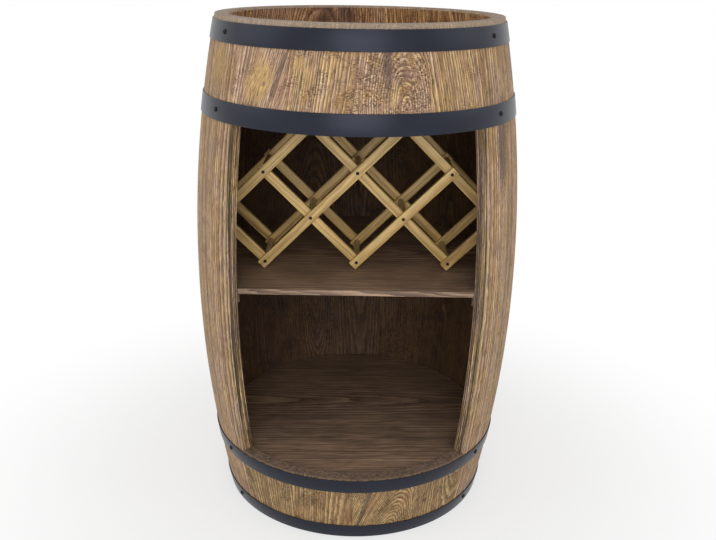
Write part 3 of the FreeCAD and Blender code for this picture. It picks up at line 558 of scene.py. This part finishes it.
# The long corners beside the opening are worn pale. The end grain of a cut stave drank the stain and is
# reddish. The rim is sanded: greyish and close-grained, and palest on the outside above the top hoop.
corner_start = add(tree, "MapRange", {0: depth, 1: 0.3, 2: 0.8}, **SOFT)
corner_end = add(tree, "MapRange", {0: depth, 1: 2.4, 2: 1.4, 4: 0.75}, **SOFT)
corner = add(tree, "Math", {0: corner_start, 1: corner_end}, operation="MULTIPLY")
colour = add(tree, "Mix", {0: corner, 6: colour, 7: hex_colour("#CDB694")}, **TINT)
cut_end = add(tree, "MapRange", {0: below_end, 1: 0.4, 2: 0.1, 4: 0.65}, **SOFT)
colour = add(tree, "Mix", {0: cut_end, 6: colour, 7: hex_colour("#76615A")}, **TINT)
rim = add(tree, "Math", {0: depth, 1: -0.15, 2: along}, operation="MULTIPLY_ADD")
rim = add(tree, "MapRange", {0: rim, 1: SANDED_FROM - 0.5, 2: SANDED_FROM + 0.5, 4: 0.7}, **SOFT)
rim_top = add(tree, "MapRange", {0: depth, 1: 0.5, 2: 3.0}, **SOFT)
rim_colour = add(tree, "Mix", {0: rim_top, 6: hex_colour("#9F8F7E"), 7: hex_colour("#A08C79")}, **TINT)
colour = add(tree, "Mix", {0: rim, 6: colour, 7: rim_colour}, **TINT)

relief = ridge
for height, strength in ((groove, -1.0), (fibre, 0.8), (crack, -0.5), (chatter, -0.8)):
    relief = add(tree, "Math", {0: height, 1: strength, 2: relief}, operation="MULTIPLY_ADD")
relief = add(tree, "Bump", {"Height": relief, "Distance": 0.0004})
rough = add(tree, "MapRange", {0: ridge, 3: 0.72, 4: 0.58})
surface = add(
    tree, "BsdfPrincipled", {"Base Color": colour, "Roughness": rough, "Normal": relief, "IOR": 1.45}
)
add(tree, "OutputMaterial", {"Surface": surface})

for log, (name, look) in enumerate(STAVES.items()):
    pattern = short_staves[name.split("_")[0]] if not name.startswith("full") else stave
    piece = copy_shape(pattern, name + "_finish")
    mark_wood(piece, log, place_in_stave, **look)
    turn_upright(piece, stave_azimuth(name) - math.pi / 2)
    piece.data.materials.append(barrel_wood)
    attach(piece, "root")
    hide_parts(name)
for pattern in (stave, *short_staves.values()):
    bpy.data.objects.remove(pattern)

# ---------------------------------------------------------------- hoops
# Four flat steel hoops, rolled into closed rings and painted satin blue-black. Each is as steep as the
# staves under it, and its edges are eased.
HOOP_THICKNESS = 0.0015
HOOP_PLAY = 0.0002
HOOP_EASING = 0.0005
HOOP_STEPS = 192

# Sprayed satin paint: nearly black and bluish, with a soft sheen. It has a fine orange peel of about
# 2 mm and slow changes in its depth.
hoop_paint, tree = new_material("satin_blue_black_paint")
place = add(tree, "TexCoord", {}, output="Object")
peel = add(tree, "TexNoise", {"Vector": place, "Scale": 500.0, "Detail": 1.0})
cloud = add(tree, "TexNoise", {"Vector": place, "Scale": 14.0, "Detail": 3.0})
colour = add(tree, "Mix", {0: cloud, 6: hex_colour("#1E1F25"), 7: hex_colour("#282A34")}, **TINT)
rough = add(tree, "MapRange", {0: cloud, 1: 0.3, 2: 0.7, 3: 0.27, 4: 0.33})
relief = add(tree, "Bump", {"Height": peel, "Strength": 0.25, "Distance": 0.0001})
surface = add(
    tree,
    "BsdfPrincipled",
    {
        "Base Color": colour,
        "Roughness": rough,
        "Normal": relief,
        "Specular IOR Level": 0.28,
        "Specular Tint": hex_colour("#D4DBF6"),
    },
)
add(tree, "OutputMaterial", {"Surface": surface})

hoop_levels = {}
for name in ("top_hoop", "upper_hoop", "lower_hoop", "bottom_hoop"):
    low, high = (corner.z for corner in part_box(name))
    hoop_levels[name] = (low + high) / 2
    bpy.ops.mesh.primitive_plane_add(
        size=HOOP_THICKNESS,
        location=(outside(low) + HOOP_PLAY + HOOP_THICKNESS / 2, 0, low + HOOP_THICKNESS / 2),
        rotation=(math.pi / 2, 0, 0),
    )
    hoop = start_shape(name + "_finish")
    pick("verts", lambda vert: vert.co.z > low + HOOP_THICKNESS / 2)
    rise = high - low - HOOP_THICKNESS
    bpy.ops.transform.translate(value=(outside(high) - outside(low), 0, rise))
    bpy.ops.mesh.select_all(action="SELECT")
    bpy.ops.mesh.bevel(offset=HOOP_EASING, segments=3, affect="VERTICES")
    bpy.ops.mesh.select_all(action="SELECT")
    bpy.ops.mesh.delete(type="ONLY_FACE")
    bpy.ops.mesh.select_all(action="SELECT")
    bpy.ops.mesh.spin(steps=HOOP_STEPS, angle=math.tau, center=(0, 0, 0), axis=(0, 0, 1))
    finish_shape()
    hoop.data.materials.append(hoop_paint)
    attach(hoop, "root")
    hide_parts(name)

# ---------------------------------------------------------------- screws
# Black steel pan-head screws with a cross recess. Sixteen pin the hoops to the staves, two on either
# side of each hoop, and smaller ones hold the rack together.
HOOP_SCREW_AZIMUTHS = (57, 132)
SCREW_STEPS = 24

# Shares of a head's height and width.
SCREW_ROUNDING = 0.7
RECESS_MARGIN = 0.06
RECESS_ARM = 0.1
RECESS_PINCH = 0.45
RECESS_DEPTH = 0.6

# Black oxide on steel: a dull near-black, patchy at about 1 mm and a little brighter where it is worn.
screw_black, tree = new_material("black_oxide_steel")
place = add(tree, "TexCoord", {}, output="Object")
wear = add(tree, "TexNoise", {"Vector": place, "Scale": 900.0})
colour = add(tree, "Mix", {0: wear, 6: hex_colour("#0F0D0C"), 7: hex_colour("#221F1B")}, **TINT)
rough = add(tree, "MapRange", {0: wear, 1: 0.3, 2: 0.7, 3: 0.3, 4: 0.5})
surface = add(tree, "BsdfPrincipled", {"Base Color": colour, "Roughness": rough, "Metallic": 0.6})
add(tree, "OutputMaterial", {"Surface": surface})


def start_round(name, steps, radius, low, high):
    """Upright round blank between two levels, opened for editing."""
    bpy.ops.mesh.primitive_cylinder_add(
        vertices=steps, radius=radius, depth=high - low, location=(0, 0, (low + high) / 2)
    )
    return start_shape(name)


def make_screws(name, head, height, shank, length, seats):
    """Screws of one size on their seats, as one piece. A seat's +Z points out of the head."""
    screw = start_round(name, SCREW_STEPS, head / 2, 0, height)
    pick("faces", lambda face: face.normal.z < -0.9)
    bpy.ops.mesh.inset(thickness=(head - shank) / 2)
    bpy.ops.mesh.extrude_region_move(TRANSFORM_OT_translate={"value": (0, 0, -length)})
    pick("edges", lambda edge: all(vert.co.z > 0.9 * height for vert in edge.verts))
    bpy.ops.mesh.bevel(offset=SCREW_ROUNDING * height, segments=4, affect="EDGES")
    pick("faces", lambda face: face.normal.z > 0.99)
    bpy.ops.mesh.inset(thickness=RECESS_MARGIN * head)
    # The rim of the recess is drawn in between its four arms.
    shape = bmesh.from_edit_mesh(screw.data)
    rim = {vert for face in shape.faces if face.select for vert in face.verts}
    pick("verts", lambda vert: vert in rim and min(abs(vert.co.x), abs(vert.co.y)) > RECESS_ARM * head)
    bpy.ops.transform.resize(value=(RECESS_PINCH, RECESS_PINCH, 1), center_override=(0, 0, height))
    pick("faces", lambda face: all(vert in rim for vert in face.verts))
    bpy.ops.mesh.extrude_region_move(TRANSFORM_OT_translate={"value": (0, 0, -RECESS_DEPTH * height)})
    finish_shape()
    screw.data.materials.append(screw_black)
    for number, seat in enumerate(seats):
        twin = copy_shape(screw, f"{name}_{number}")
        twin.data.transform(seat)
        twin.select_set(True)
    screw.select_set(False)
    bpy.context.view_layer.objects.active = twin
    bpy.ops.object.join()
    twin.name = name
    bpy.data.objects.remove(screw)
    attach(twin, "root")
    return twin


def on_stave(azimuth, level, proud):
    """Seat square to the outer face of the staves, and proud of it."""
    tilt = math.asin((level - HALF_HEIGHT) / OUTER_ARC)
    reach = OUTER_ARC + proud
    place = Vector((ARC_CENTRE + reach * math.cos(tilt), 0, HALF_HEIGHT + reach * math.sin(tilt)))
    upright = Matrix.Rotation(azimuth - math.pi / 2, 4, "Z")
    return upright @ Matrix.Translation(place) @ Matrix.Rotation(math.pi / 2 - tilt, 4, "Y")


hoop_seats = [
    on_stave(math.radians(side * azimuth), level, HOOP_PLAY + HOOP_THICKNESS)
    for level in hoop_levels.values()
    for azimuth in HOOP_SCREW_AZIMUTHS
    for side in (-1, 1)
]
hoop_screws = make_screws(
    "hoop_screws_finish", head=0.007, height=0.0018, shank=0.0035, length=0.015, seats=hoop_seats
)
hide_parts("hoop_screws")

# ---------------------------------------------------------------- heads
# The top and the bottom of the barrel: four softwood boards laid side by side and turned round, with a
# tongue that sits in the croze of the staves. They are stained darker than the staves.
HEAD_BOARDS = 4
HEAD_STEPS = 128
HEAD_THICKNESS = 0.016
HEAD_PLAY = 0.0003
BOARD_EASING = 0.0006

# Planed softwood under a dark satin stain: greyish brown, with pale late wood, dark lines between the
# rings and narrow streaks where the stain went deeper.
board_wood, tree = new_material("dark_stained_boards")
board = add(tree, "Attribute", {}, output="Vector", attribute_name="board")
stain = add(tree, "Attribute", {}, output="Vector", attribute_name="stain")
tone = add(tree, "SeparateXYZ", {0: stain}, output="X")
part_of_ring = growth_rings(tree, board, 6.0, 1 / 3.6)[0]
late = add(tree, "MapRange", {0: part_of_ring, 1: 0.2, 2: 0.9}, **SOFT)
edge = add(tree, "MapRange", {0: part_of_ring, 1: 0.9, 2: 1.0}, **SOFT)
groove = add(tree, "MapRange", {0: part_of_ring, 1: 0.2, 2: 0.0}, **SOFT)
groove = add(tree, "Math", {0: groove, 1: edge}, operation="MAXIMUM")
fibre = add(tree, "VectorMath", {0: board, 1: (1 / 1.3, 1 / 1.3, 1 / 30)}, operation="MULTIPLY")
fibre = add(tree, "TexNoise", {"Vector": fibre, "Scale": 1.0})
cloud = add(tree, "VectorMath", {0: board, 1: (1 / 35, 1 / 35, 1 / 90)}, operation="MULTIPLY")
cloud = add(tree, "TexNoise", {"Vector": cloud, "Scale": 1.0})
colour = add(tree, "Mix", {0: late, 6: hex_colour("#6E5849"), 7: hex_colour("#937A63")}, **TINT)
groove_depth = add(tree, "Math", {0: groove, 1: 0.6}, operation="MULTIPLY")
colour = add(tree, "Mix", {0: groove_depth, 6: colour, 7: hex_colour("#453426")}, **TINT)
shade = add(tree, "MapRange", {0: fibre, 1: 0.3, 2: 0.7, 3: 0.72, 4: 1.22})
cloud = add(tree, "MapRange", {0: cloud, 1: 0.3, 2: 0.7, 3: 0.8, 4: 1.15})
band = add(tree, "VectorMath", {0: board, 1: (1 / 7, 1 / 7, 1 / 60)}, operation="MULTIPLY")
band = add(tree, "TexNoise", {"Vector": band, "Scale": 1.0, "Detail": 4.0})
band = add(tree, "MapRange", {0: band, 1: 0.35, 2: 0.65, 3: 0.74, 4: 1.24})
tone = add(tree, "Math", {0: tone, 1: 1.0}, operation="ADD")
for factor in (cloud, band, tone):
    shade = add(tree, "Math", {0: shade, 1: factor}, operation="MULTIPLY")
shade = add(tree, "CombineXYZ", {0: shade, 1: shade, 2: shade})
colour = add(tree, "VectorMath", {0: colour, 1: shade}, operation="MULTIPLY")
relief = add(tree, "Math", {0: fibre, 1: 0.8, 2: late}, operation="MULTIPLY_ADD")
relief = add(tree, "Bump", {"Height": relief, "Distance": 0.00015})
rough = add(tree, "MapRange", {0: late, 3: 0.5, 4: 0.42})
surface = add(
    tree, "BsdfPrincipled", {"Base Color": colour, "Roughness": rough, "Normal": relief, "IOR": 1.45}
)
add(tree, "OutputMaterial", {"Surface": surface})

head_radius = inside(CROZE_MIDDLE - HEAD_THICKNESS / 2) - HEAD_PLAY
tongue_radius = inside(CROZE_MIDDLE) + CROZE_DEPTH - HEAD_PLAY
tongue_reach = CROZE_WIDTH / 2 - HEAD_PLAY
board_width = 2 * tongue_radius / HEAD_BOARDS
for end, middle, first_log in (("top", HEIGHT - CROZE_MIDDLE, 30), ("bottom", CROZE_MIDDLE, 40)):
    lowest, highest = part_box(f"{end}_head_board_2")
    head = start_round(f"{end}_head", HEAD_STEPS, head_radius, lowest.z, highest.z)
    slice_shape((0, 0, middle - tongue_reach), (0, 0, 1))
    slice_shape((0, 0, middle + tongue_reach), (0, 0, 1))
    pick(
        "faces",
        lambda face: abs(face.normal.z) < 0.1 and abs(face.calc_center_median().z - middle) < tongue_reach,
    )
    bpy.ops.mesh.extrude_region_shrink_fatten(
        TRANSFORM_OT_shrink_fatten={"value": tongue_radius - head_radius}
    )
    finish_shape()
    for number in range(HEAD_BOARDS):
        piece = copy_shape(head, f"{end}_head_board_{number + 1}_finish")
        near, far = number * board_width - tongue_radius, (number + 1) * board_width - tongue_radius
        joints = [joint for joint in (near, far) if abs(joint) < 0.9 * tongue_radius]
        shape_alone(piece)
        if near in joints:
            slice_shape((0, near, 0), (0, 1, 0), "before")
        if far in joints:
            slice_shape((0, far, 0), (0, 1, 0), "beyond")
        pick(
            "edges",
            lambda edge: any(all(abs(vert.co.y - joint) < SAME for vert in edge.verts) for joint in joints)
            and all(min(vert.co.z - lowest.z, highest.z - vert.co.z) < SAME for vert in edge.verts),
        )
        bpy.ops.mesh.bevel(offset=BOARD_EASING, segments=2, affect="EDGES")
        finish_shape()
        mark_wood(
            piece,
            first_log + number,
            lambda co: (1000 * (highest.z - co.z), 1000 * (co.y - near), 1000 * co.x),
            heart=(35 + 12 * number, 30 + 14 * number),
            lean=(0.04, 0.02 * (number - 1)),
            tone=0.18 * (number % 2),
        )
        piece.data.materials.append(board_wood)
        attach(piece, "root")
        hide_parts(f"{end}_head_board_{number + 1}")
    bpy.data.objects.remove(head)

# ---------------------------------------------------------------- floor board and shelf
# Two boards of glued softwood, stained dark and resting on cleats. The floor board is round. The shelf
# has a straight front edge across the opening, and is a little paler.
BOARD_STEPS = 192
for name, log, easing, tone in (("floor_board", 52, 0.0008, 0.14), ("shelf", 50, 0.0012, 0.2)):
    lowest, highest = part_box(name)
    piece = start_round(name + "_finish", BOARD_STEPS, highest.x, lowest.z, highest.z)
    if name == "shelf":
        slice_shape((0, lowest.y, 0), (0, 1, 0), "before")
    pick("edges", lambda edge: abs(edge.verts[0].co.z - edge.verts[1].co.z) < SAME and edge.is_manifold)
    bpy.ops.mesh.bevel(offset=easing, segments=3, affect="EDGES")
    finish_shape()
    mark_wood(
        piece,
        log,
        lambda co: (1000 * (highest.z - co.z), 1000 * co.y, 1000 * co.x),
        heart=(60, 20),
        lean=(0.03, 0.02),
        tone=tone,
    )
    piece.data.materials.append(board_wood)
    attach(piece, "root")
    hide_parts(name)

# ---------------------------------------------------------------- cleats
# Short softwood blocks under the shelf and the floor board, scribed to the staves. Two countersunk screws
# hold each of them from inside.


def plain_wood(name, axes, length, dark, pale, roughness, brushing, depth):
    """Softwood with straight fibres and no rings to be seen.

    The axes are those through, across and along the wood. Its fibres are 1.5 mm apart, and their length is
    in mm.
    """
    material, tree = new_material(name)
    place = add(tree, "TexCoord", {}, output="Object")
    place = add(tree, "VectorMath", {0: place, 1: (1000, 1000, 1000)}, operation="MULTIPLY")
    through, across, along = [add(tree, "SeparateXYZ", {0: place}, output=axis) for axis in axes]
    place = add(tree, "CombineXYZ", {0: through, 1: across, 2: along})
    fibre = add(tree, "VectorMath", {0: place, 1: (1 / 1.5, 1 / 1.5, 1 / length)}, operation="MULTIPLY")
    fibre = add(tree, "TexNoise", {"Vector": fibre, "Scale": 1.0})
    colour = add(tree, "Mix", {0: fibre, 6: hex_colour(dark), 7: hex_colour(pale)}, **TINT)
    relief = add(tree, "Bump", {"Height": fibre, "Strength": brushing, "Distance": depth})
    surface = add(tree, "BsdfPrincipled", {"Base Color": colour, "Roughness": roughness, "Normal": relief})
    add(tree, "OutputMaterial", {"Surface": surface})
    return material


# Offcuts of the boards, left as sawn: the same brown, duller and rougher.
cleat_wood = plain_wood("stained_offcuts", "ZYX", 25, "#4A382B", "#86694F", 0.6, 1.0, 0.0002)
for name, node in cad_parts.items():
    if "_cleat_" in name:
        node.data.materials.clear()
        node.data.materials.append(cleat_wood)
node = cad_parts["cleat_screws"]
node.data.materials.clear()
node.data.materials.append(screw_black)

# ---------------------------------------------------------------- bottle rack
# Two lattices of planed pine slats, one behind the other, tied by round rods at the crossings. The
# slats are eased along their edges, cut square at their free ends and mitred where they meet the wall.
SLAT_WIDTH = 0.014
SLAT_THICKNESS = 0.008
SLAT_OVERHANG = 0.009
SLAT_EASING = 0.0012
SPARE_LENGTH = 3 * SLAT_WIDTH
WALL_COLUMN = 3
WALL_ROW = 1
RACK_FRONT = 0.065
RACK_SIDE_MARGIN = 0.0106
RACK_FOOT_CLEARANCE = 0.0002

# Columns count from the middle and rows from the shelf, both in half diagonals of a cell.
shelf_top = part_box("shelf")[1].z
half_cell = (math.sqrt(inside(shelf_top) ** 2 - RACK_FRONT**2) - RACK_SIDE_MARGIN) / WALL_COLUMN
cell_side = half_cell * math.sqrt(2)
lowest_row = shelf_top + RACK_FOOT_CLEARANCE + (SLAT_OVERHANG + SLAT_WIDTH / 2) / math.sqrt(2)
crossings = {
    (rising, falling): (rising + falling - WALL_COLUMN, WALL_ROW + falling - rising)
    for rising in range(WALL_COLUMN + 1)
    for falling in range(WALL_COLUMN + 1)
    if 0 <= WALL_ROW + falling - rising <= WALL_COLUMN
}

# Planed pine under a thin satin varnish: golden, with a close straight grain.
rack_pine, tree = new_material("varnished_pine")
board = add(tree, "Attribute", {}, output="Vector", attribute_name="board")
stain = add(tree, "Attribute", {}, output="Vector", attribute_name="stain")
tone = add(tree, "SeparateXYZ", {0: stain}, output="X")
part_of_ring, ring = growth_rings(tree, board, 8.0, 1 / 4.2)
rise = add(tree, "MapRange", {0: part_of_ring, 1: 0.2, 2: 0.9}, **SOFT)
fall = add(tree, "MapRange", {0: part_of_ring, 1: 1.0, 2: 0.92}, **SOFT)
late = add(tree, "Math", {0: rise, 1: fall}, operation="MULTIPLY")
year = add(tree, "TexWhiteNoise", {"W": ring}, noise_dimensions="1D")
year = add(tree, "MapRange", {0: year, 3: 0.2, 4: 0.9})
late = add(tree, "Math", {0: late, 1: year}, operation="MULTIPLY")
colour = add(tree, "Mix", {0: late, 6: hex_colour("#DDBC7A"), 7: hex_colour("#A97C40")}, **TINT)
fibre = add(tree, "VectorMath", {0: board, 1: (1 / 1.0, 1 / 1.0, 1 / 25)}, operation="MULTIPLY")
fibre = add(tree, "TexNoise", {"Vector": fibre, "Scale": 1.0})
cloud = add(tree, "VectorMath", {0: board, 1: (1 / 12, 1 / 12, 1 / 60)}, operation="MULTIPLY")
cloud = add(tree, "TexNoise", {"Vector": cloud, "Scale": 1.0})
shade = add(tree, "Math", {0: tone, 1: 1.0}, operation="ADD")
for factor in (
    add(tree, "MapRange", {0: fibre, 1: 0.3, 2: 0.7, 3: 0.8, 4: 1.12}),
    add(tree, "MapRange", {0: cloud, 1: 0.3, 2: 0.7, 3: 0.86, 4: 1.1}),
):
    shade = add(tree, "Math", {0: shade, 1: factor}, operation="MULTIPLY")
shade = add(tree, "CombineXYZ", {0: shade, 1: shade, 2: shade})
colour = add(tree, "VectorMath", {0: colour, 1: shade}, operation="MULTIPLY")
relief = add(tree, "Bump", {"Height": fibre, "Strength": 0.6, "Distance": 0.0001})
surface = add(tree, "BsdfPrincipled", {"Base Color": colour, "Roughness": 0.42, "Normal": relief, "IOR": 1.5})
add(tree, "OutputMaterial", {"Surface": surface})

log = 60
for lattice in ("front", "rear"):
    for way, (direction, lean) in enumerate((("rising", 1), ("falling", -1))):
        for index in range(WALL_COLUMN + 1):
            name = f"{lattice}_{direction}_slat_{index + 1}"
            lowest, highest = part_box(name)
            places = sorted(place for pair, place in crossings.items() if pair[way] == index)
            first = Vector((places[0][0] * half_cell, lowest.y, lowest_row + places[0][1] * half_cell))
            before, after = [
                SPARE_LENGTH if abs(column) == WALL_COLUMN else SLAT_OVERHANG
                for column, _ in (places[0], places[-1])
            ]
            length = before + (len(places) - 1) * cell_side + after
            along = Vector((1, 0, lean)).normalized()
            middle = first + along * (length / 2 - before) + Vector((0, SLAT_THICKNESS / 2, 0))
            bpy.ops.mesh.primitive_cube_add(size=1, location=middle, rotation=(0, -lean * math.pi / 4, 0))
            bpy.context.object.scale = (length, SLAT_THICKNESS, SLAT_WIDTH)
            piece = start_shape(name + "_finish")
            slice_shape((lowest.x, 0, 0), (1, 0, 0), "before")
            slice_shape((highest.x, 0, 0), (1, 0, 0), "beyond")
            bpy.ops.mesh.select_all(action="SELECT")
            bpy.ops.mesh.bevel(offset=SLAT_EASING, segments=3, affect="EDGES")
            finish_shape()
            across = Vector((-lean, 0, 1)).normalized()
            mark_wood(
                piece,
                log,
                lambda co: (
                    1000 * (co.y - lowest.y),
                    1000 * across.dot(co - first),
                    1000 * along.dot(co - first),
                ),
                heart=(20 + 5 * (log % 3), 25 - 9 * (log % 5)),
                lean=(0.01, 0.006 * (log % 3)),
                tone=0.06 * (log % 3 - 1),
            )
            piece.data.materials.append(rack_pine)
            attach(piece, "root")
            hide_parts(name)
            log += 1

# Round rods of turned pine run from the front lattice to the rear one: golden like the slats, and smooth.
rod_pine = plain_wood("turned_pine", "ZXY", 40, "#A98650", "#D3B883", 0.45, 0.6, 0.0001)
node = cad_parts["rack_rods"]
node.data.materials.clear()
node.data.materials.append(rod_pine)

# A screw goes through either end of every crossing into its rod.
rear_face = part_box("rear_falling_slat_1")[1].y
rack_seats = [
    Matrix.Translation((column * half_cell, face, lowest_row + row * half_cell))
    @ Matrix.Rotation(math.pi / 2 * side, 4, "X")
    for face, side in ((-RACK_FRONT, 1), (rear_face, -1))
    for column, row in crossings.values()
]
rack_screws = make_screws(
    "rack_screws_finish", head=0.005, height=0.0012, shank=0.003, length=0.028, seats=rack_seats
)
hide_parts("rack_screws")

# ---------------------------------------------------------------- floor and light
# A plain white floor that keeps the shadow of the cabinet and fades into a white room, and soft light
# from a large lamp in front, one on either side, and the room itself.
SHADOW_KEPT = 0.4
FADE_START = 0.3
FADE_END = 0.8
FLOOR_SIZE = 16
ROOM_LIGHT = 0.58


def white_rays(tree):
    """1 for the rays that find the room white: from the camera, off a glossy surface or through glass."""
    seen, mirrored, passed = [
        add(tree, "LightPath", {}, output=f"Is {kind} Ray") for kind in ("Camera", "Glossy", "Transmission")
    ]
    white = add(tree, "Math", {0: seen, 1: mirrored}, operation="MAXIMUM")
    return add(tree, "Math", {0: white, 1: passed}, operation="MAXIMUM")


bpy.ops.mesh.primitive_plane_add(size=FLOOR_SIZE)
ground = bpy.context.object
ground.name = "ground"
floor_paint, tree = new_material("white_floor")
place = add(tree, "TexCoord", {}, output="Object")
away = add(tree, "VectorMath", {0: place}, output="Value", operation="LENGTH")
fade = add(tree, "MapRange", {0: away, 1: FADE_START, 2: FADE_END, 3: 1 - SHADOW_KEPT, 4: 1.0}, **SOFT)
fade = add(tree, "Math", {0: fade, 1: white_rays(tree)}, operation="MULTIPLY")
lit = add(tree, "BsdfDiffuse", {"Color": hex_colour("#FAFAFA")})
white = add(tree, "Emission", {"Color": (1, 1, 1, 1), "Strength": 1.0})
surface = add(tree, "MixShader", {0: fade, 1: lit, 2: white})
add(tree, "OutputMaterial", {"Surface": surface})
ground.data.materials.append(floor_paint)

world = bpy.data.worlds.new("white_room")
bpy.context.scene.world = world
world.use_nodes = True
tree = world.node_tree
tree.nodes.clear()
strength = add(tree, "MapRange", {0: white_rays(tree), 3: ROOM_LIGHT, 4: 1.0})
surface = add(tree, "Background", {"Color": (1, 1, 1, 1), "Strength": strength})
add(tree, "OutputWorld", {"Surface": surface})

for name, place, size, watts in (
    ("front_lamp", (0.0, -2.4, 1.25), 1.5, 20),
    ("left_lamp", (-2.2, -0.5, 1.6), 1.6, 7),
    ("right_lamp", (2.2, -0.5, 1.6), 1.6, 6),
):
    bpy.ops.object.light_add(type="AREA", location=place)
    lamp = bpy.context.object
    lamp.name = name
    lamp.data.size = size
    lamp.data.energy = watts
    aim = Vector((0, 0, HALF_HEIGHT)) - Vector(place)
    lamp.rotation_euler = aim.to_track_quat("-Z", "Y").to_euler()

bpy.context.scene.view_settings.view_transform = "Standard"
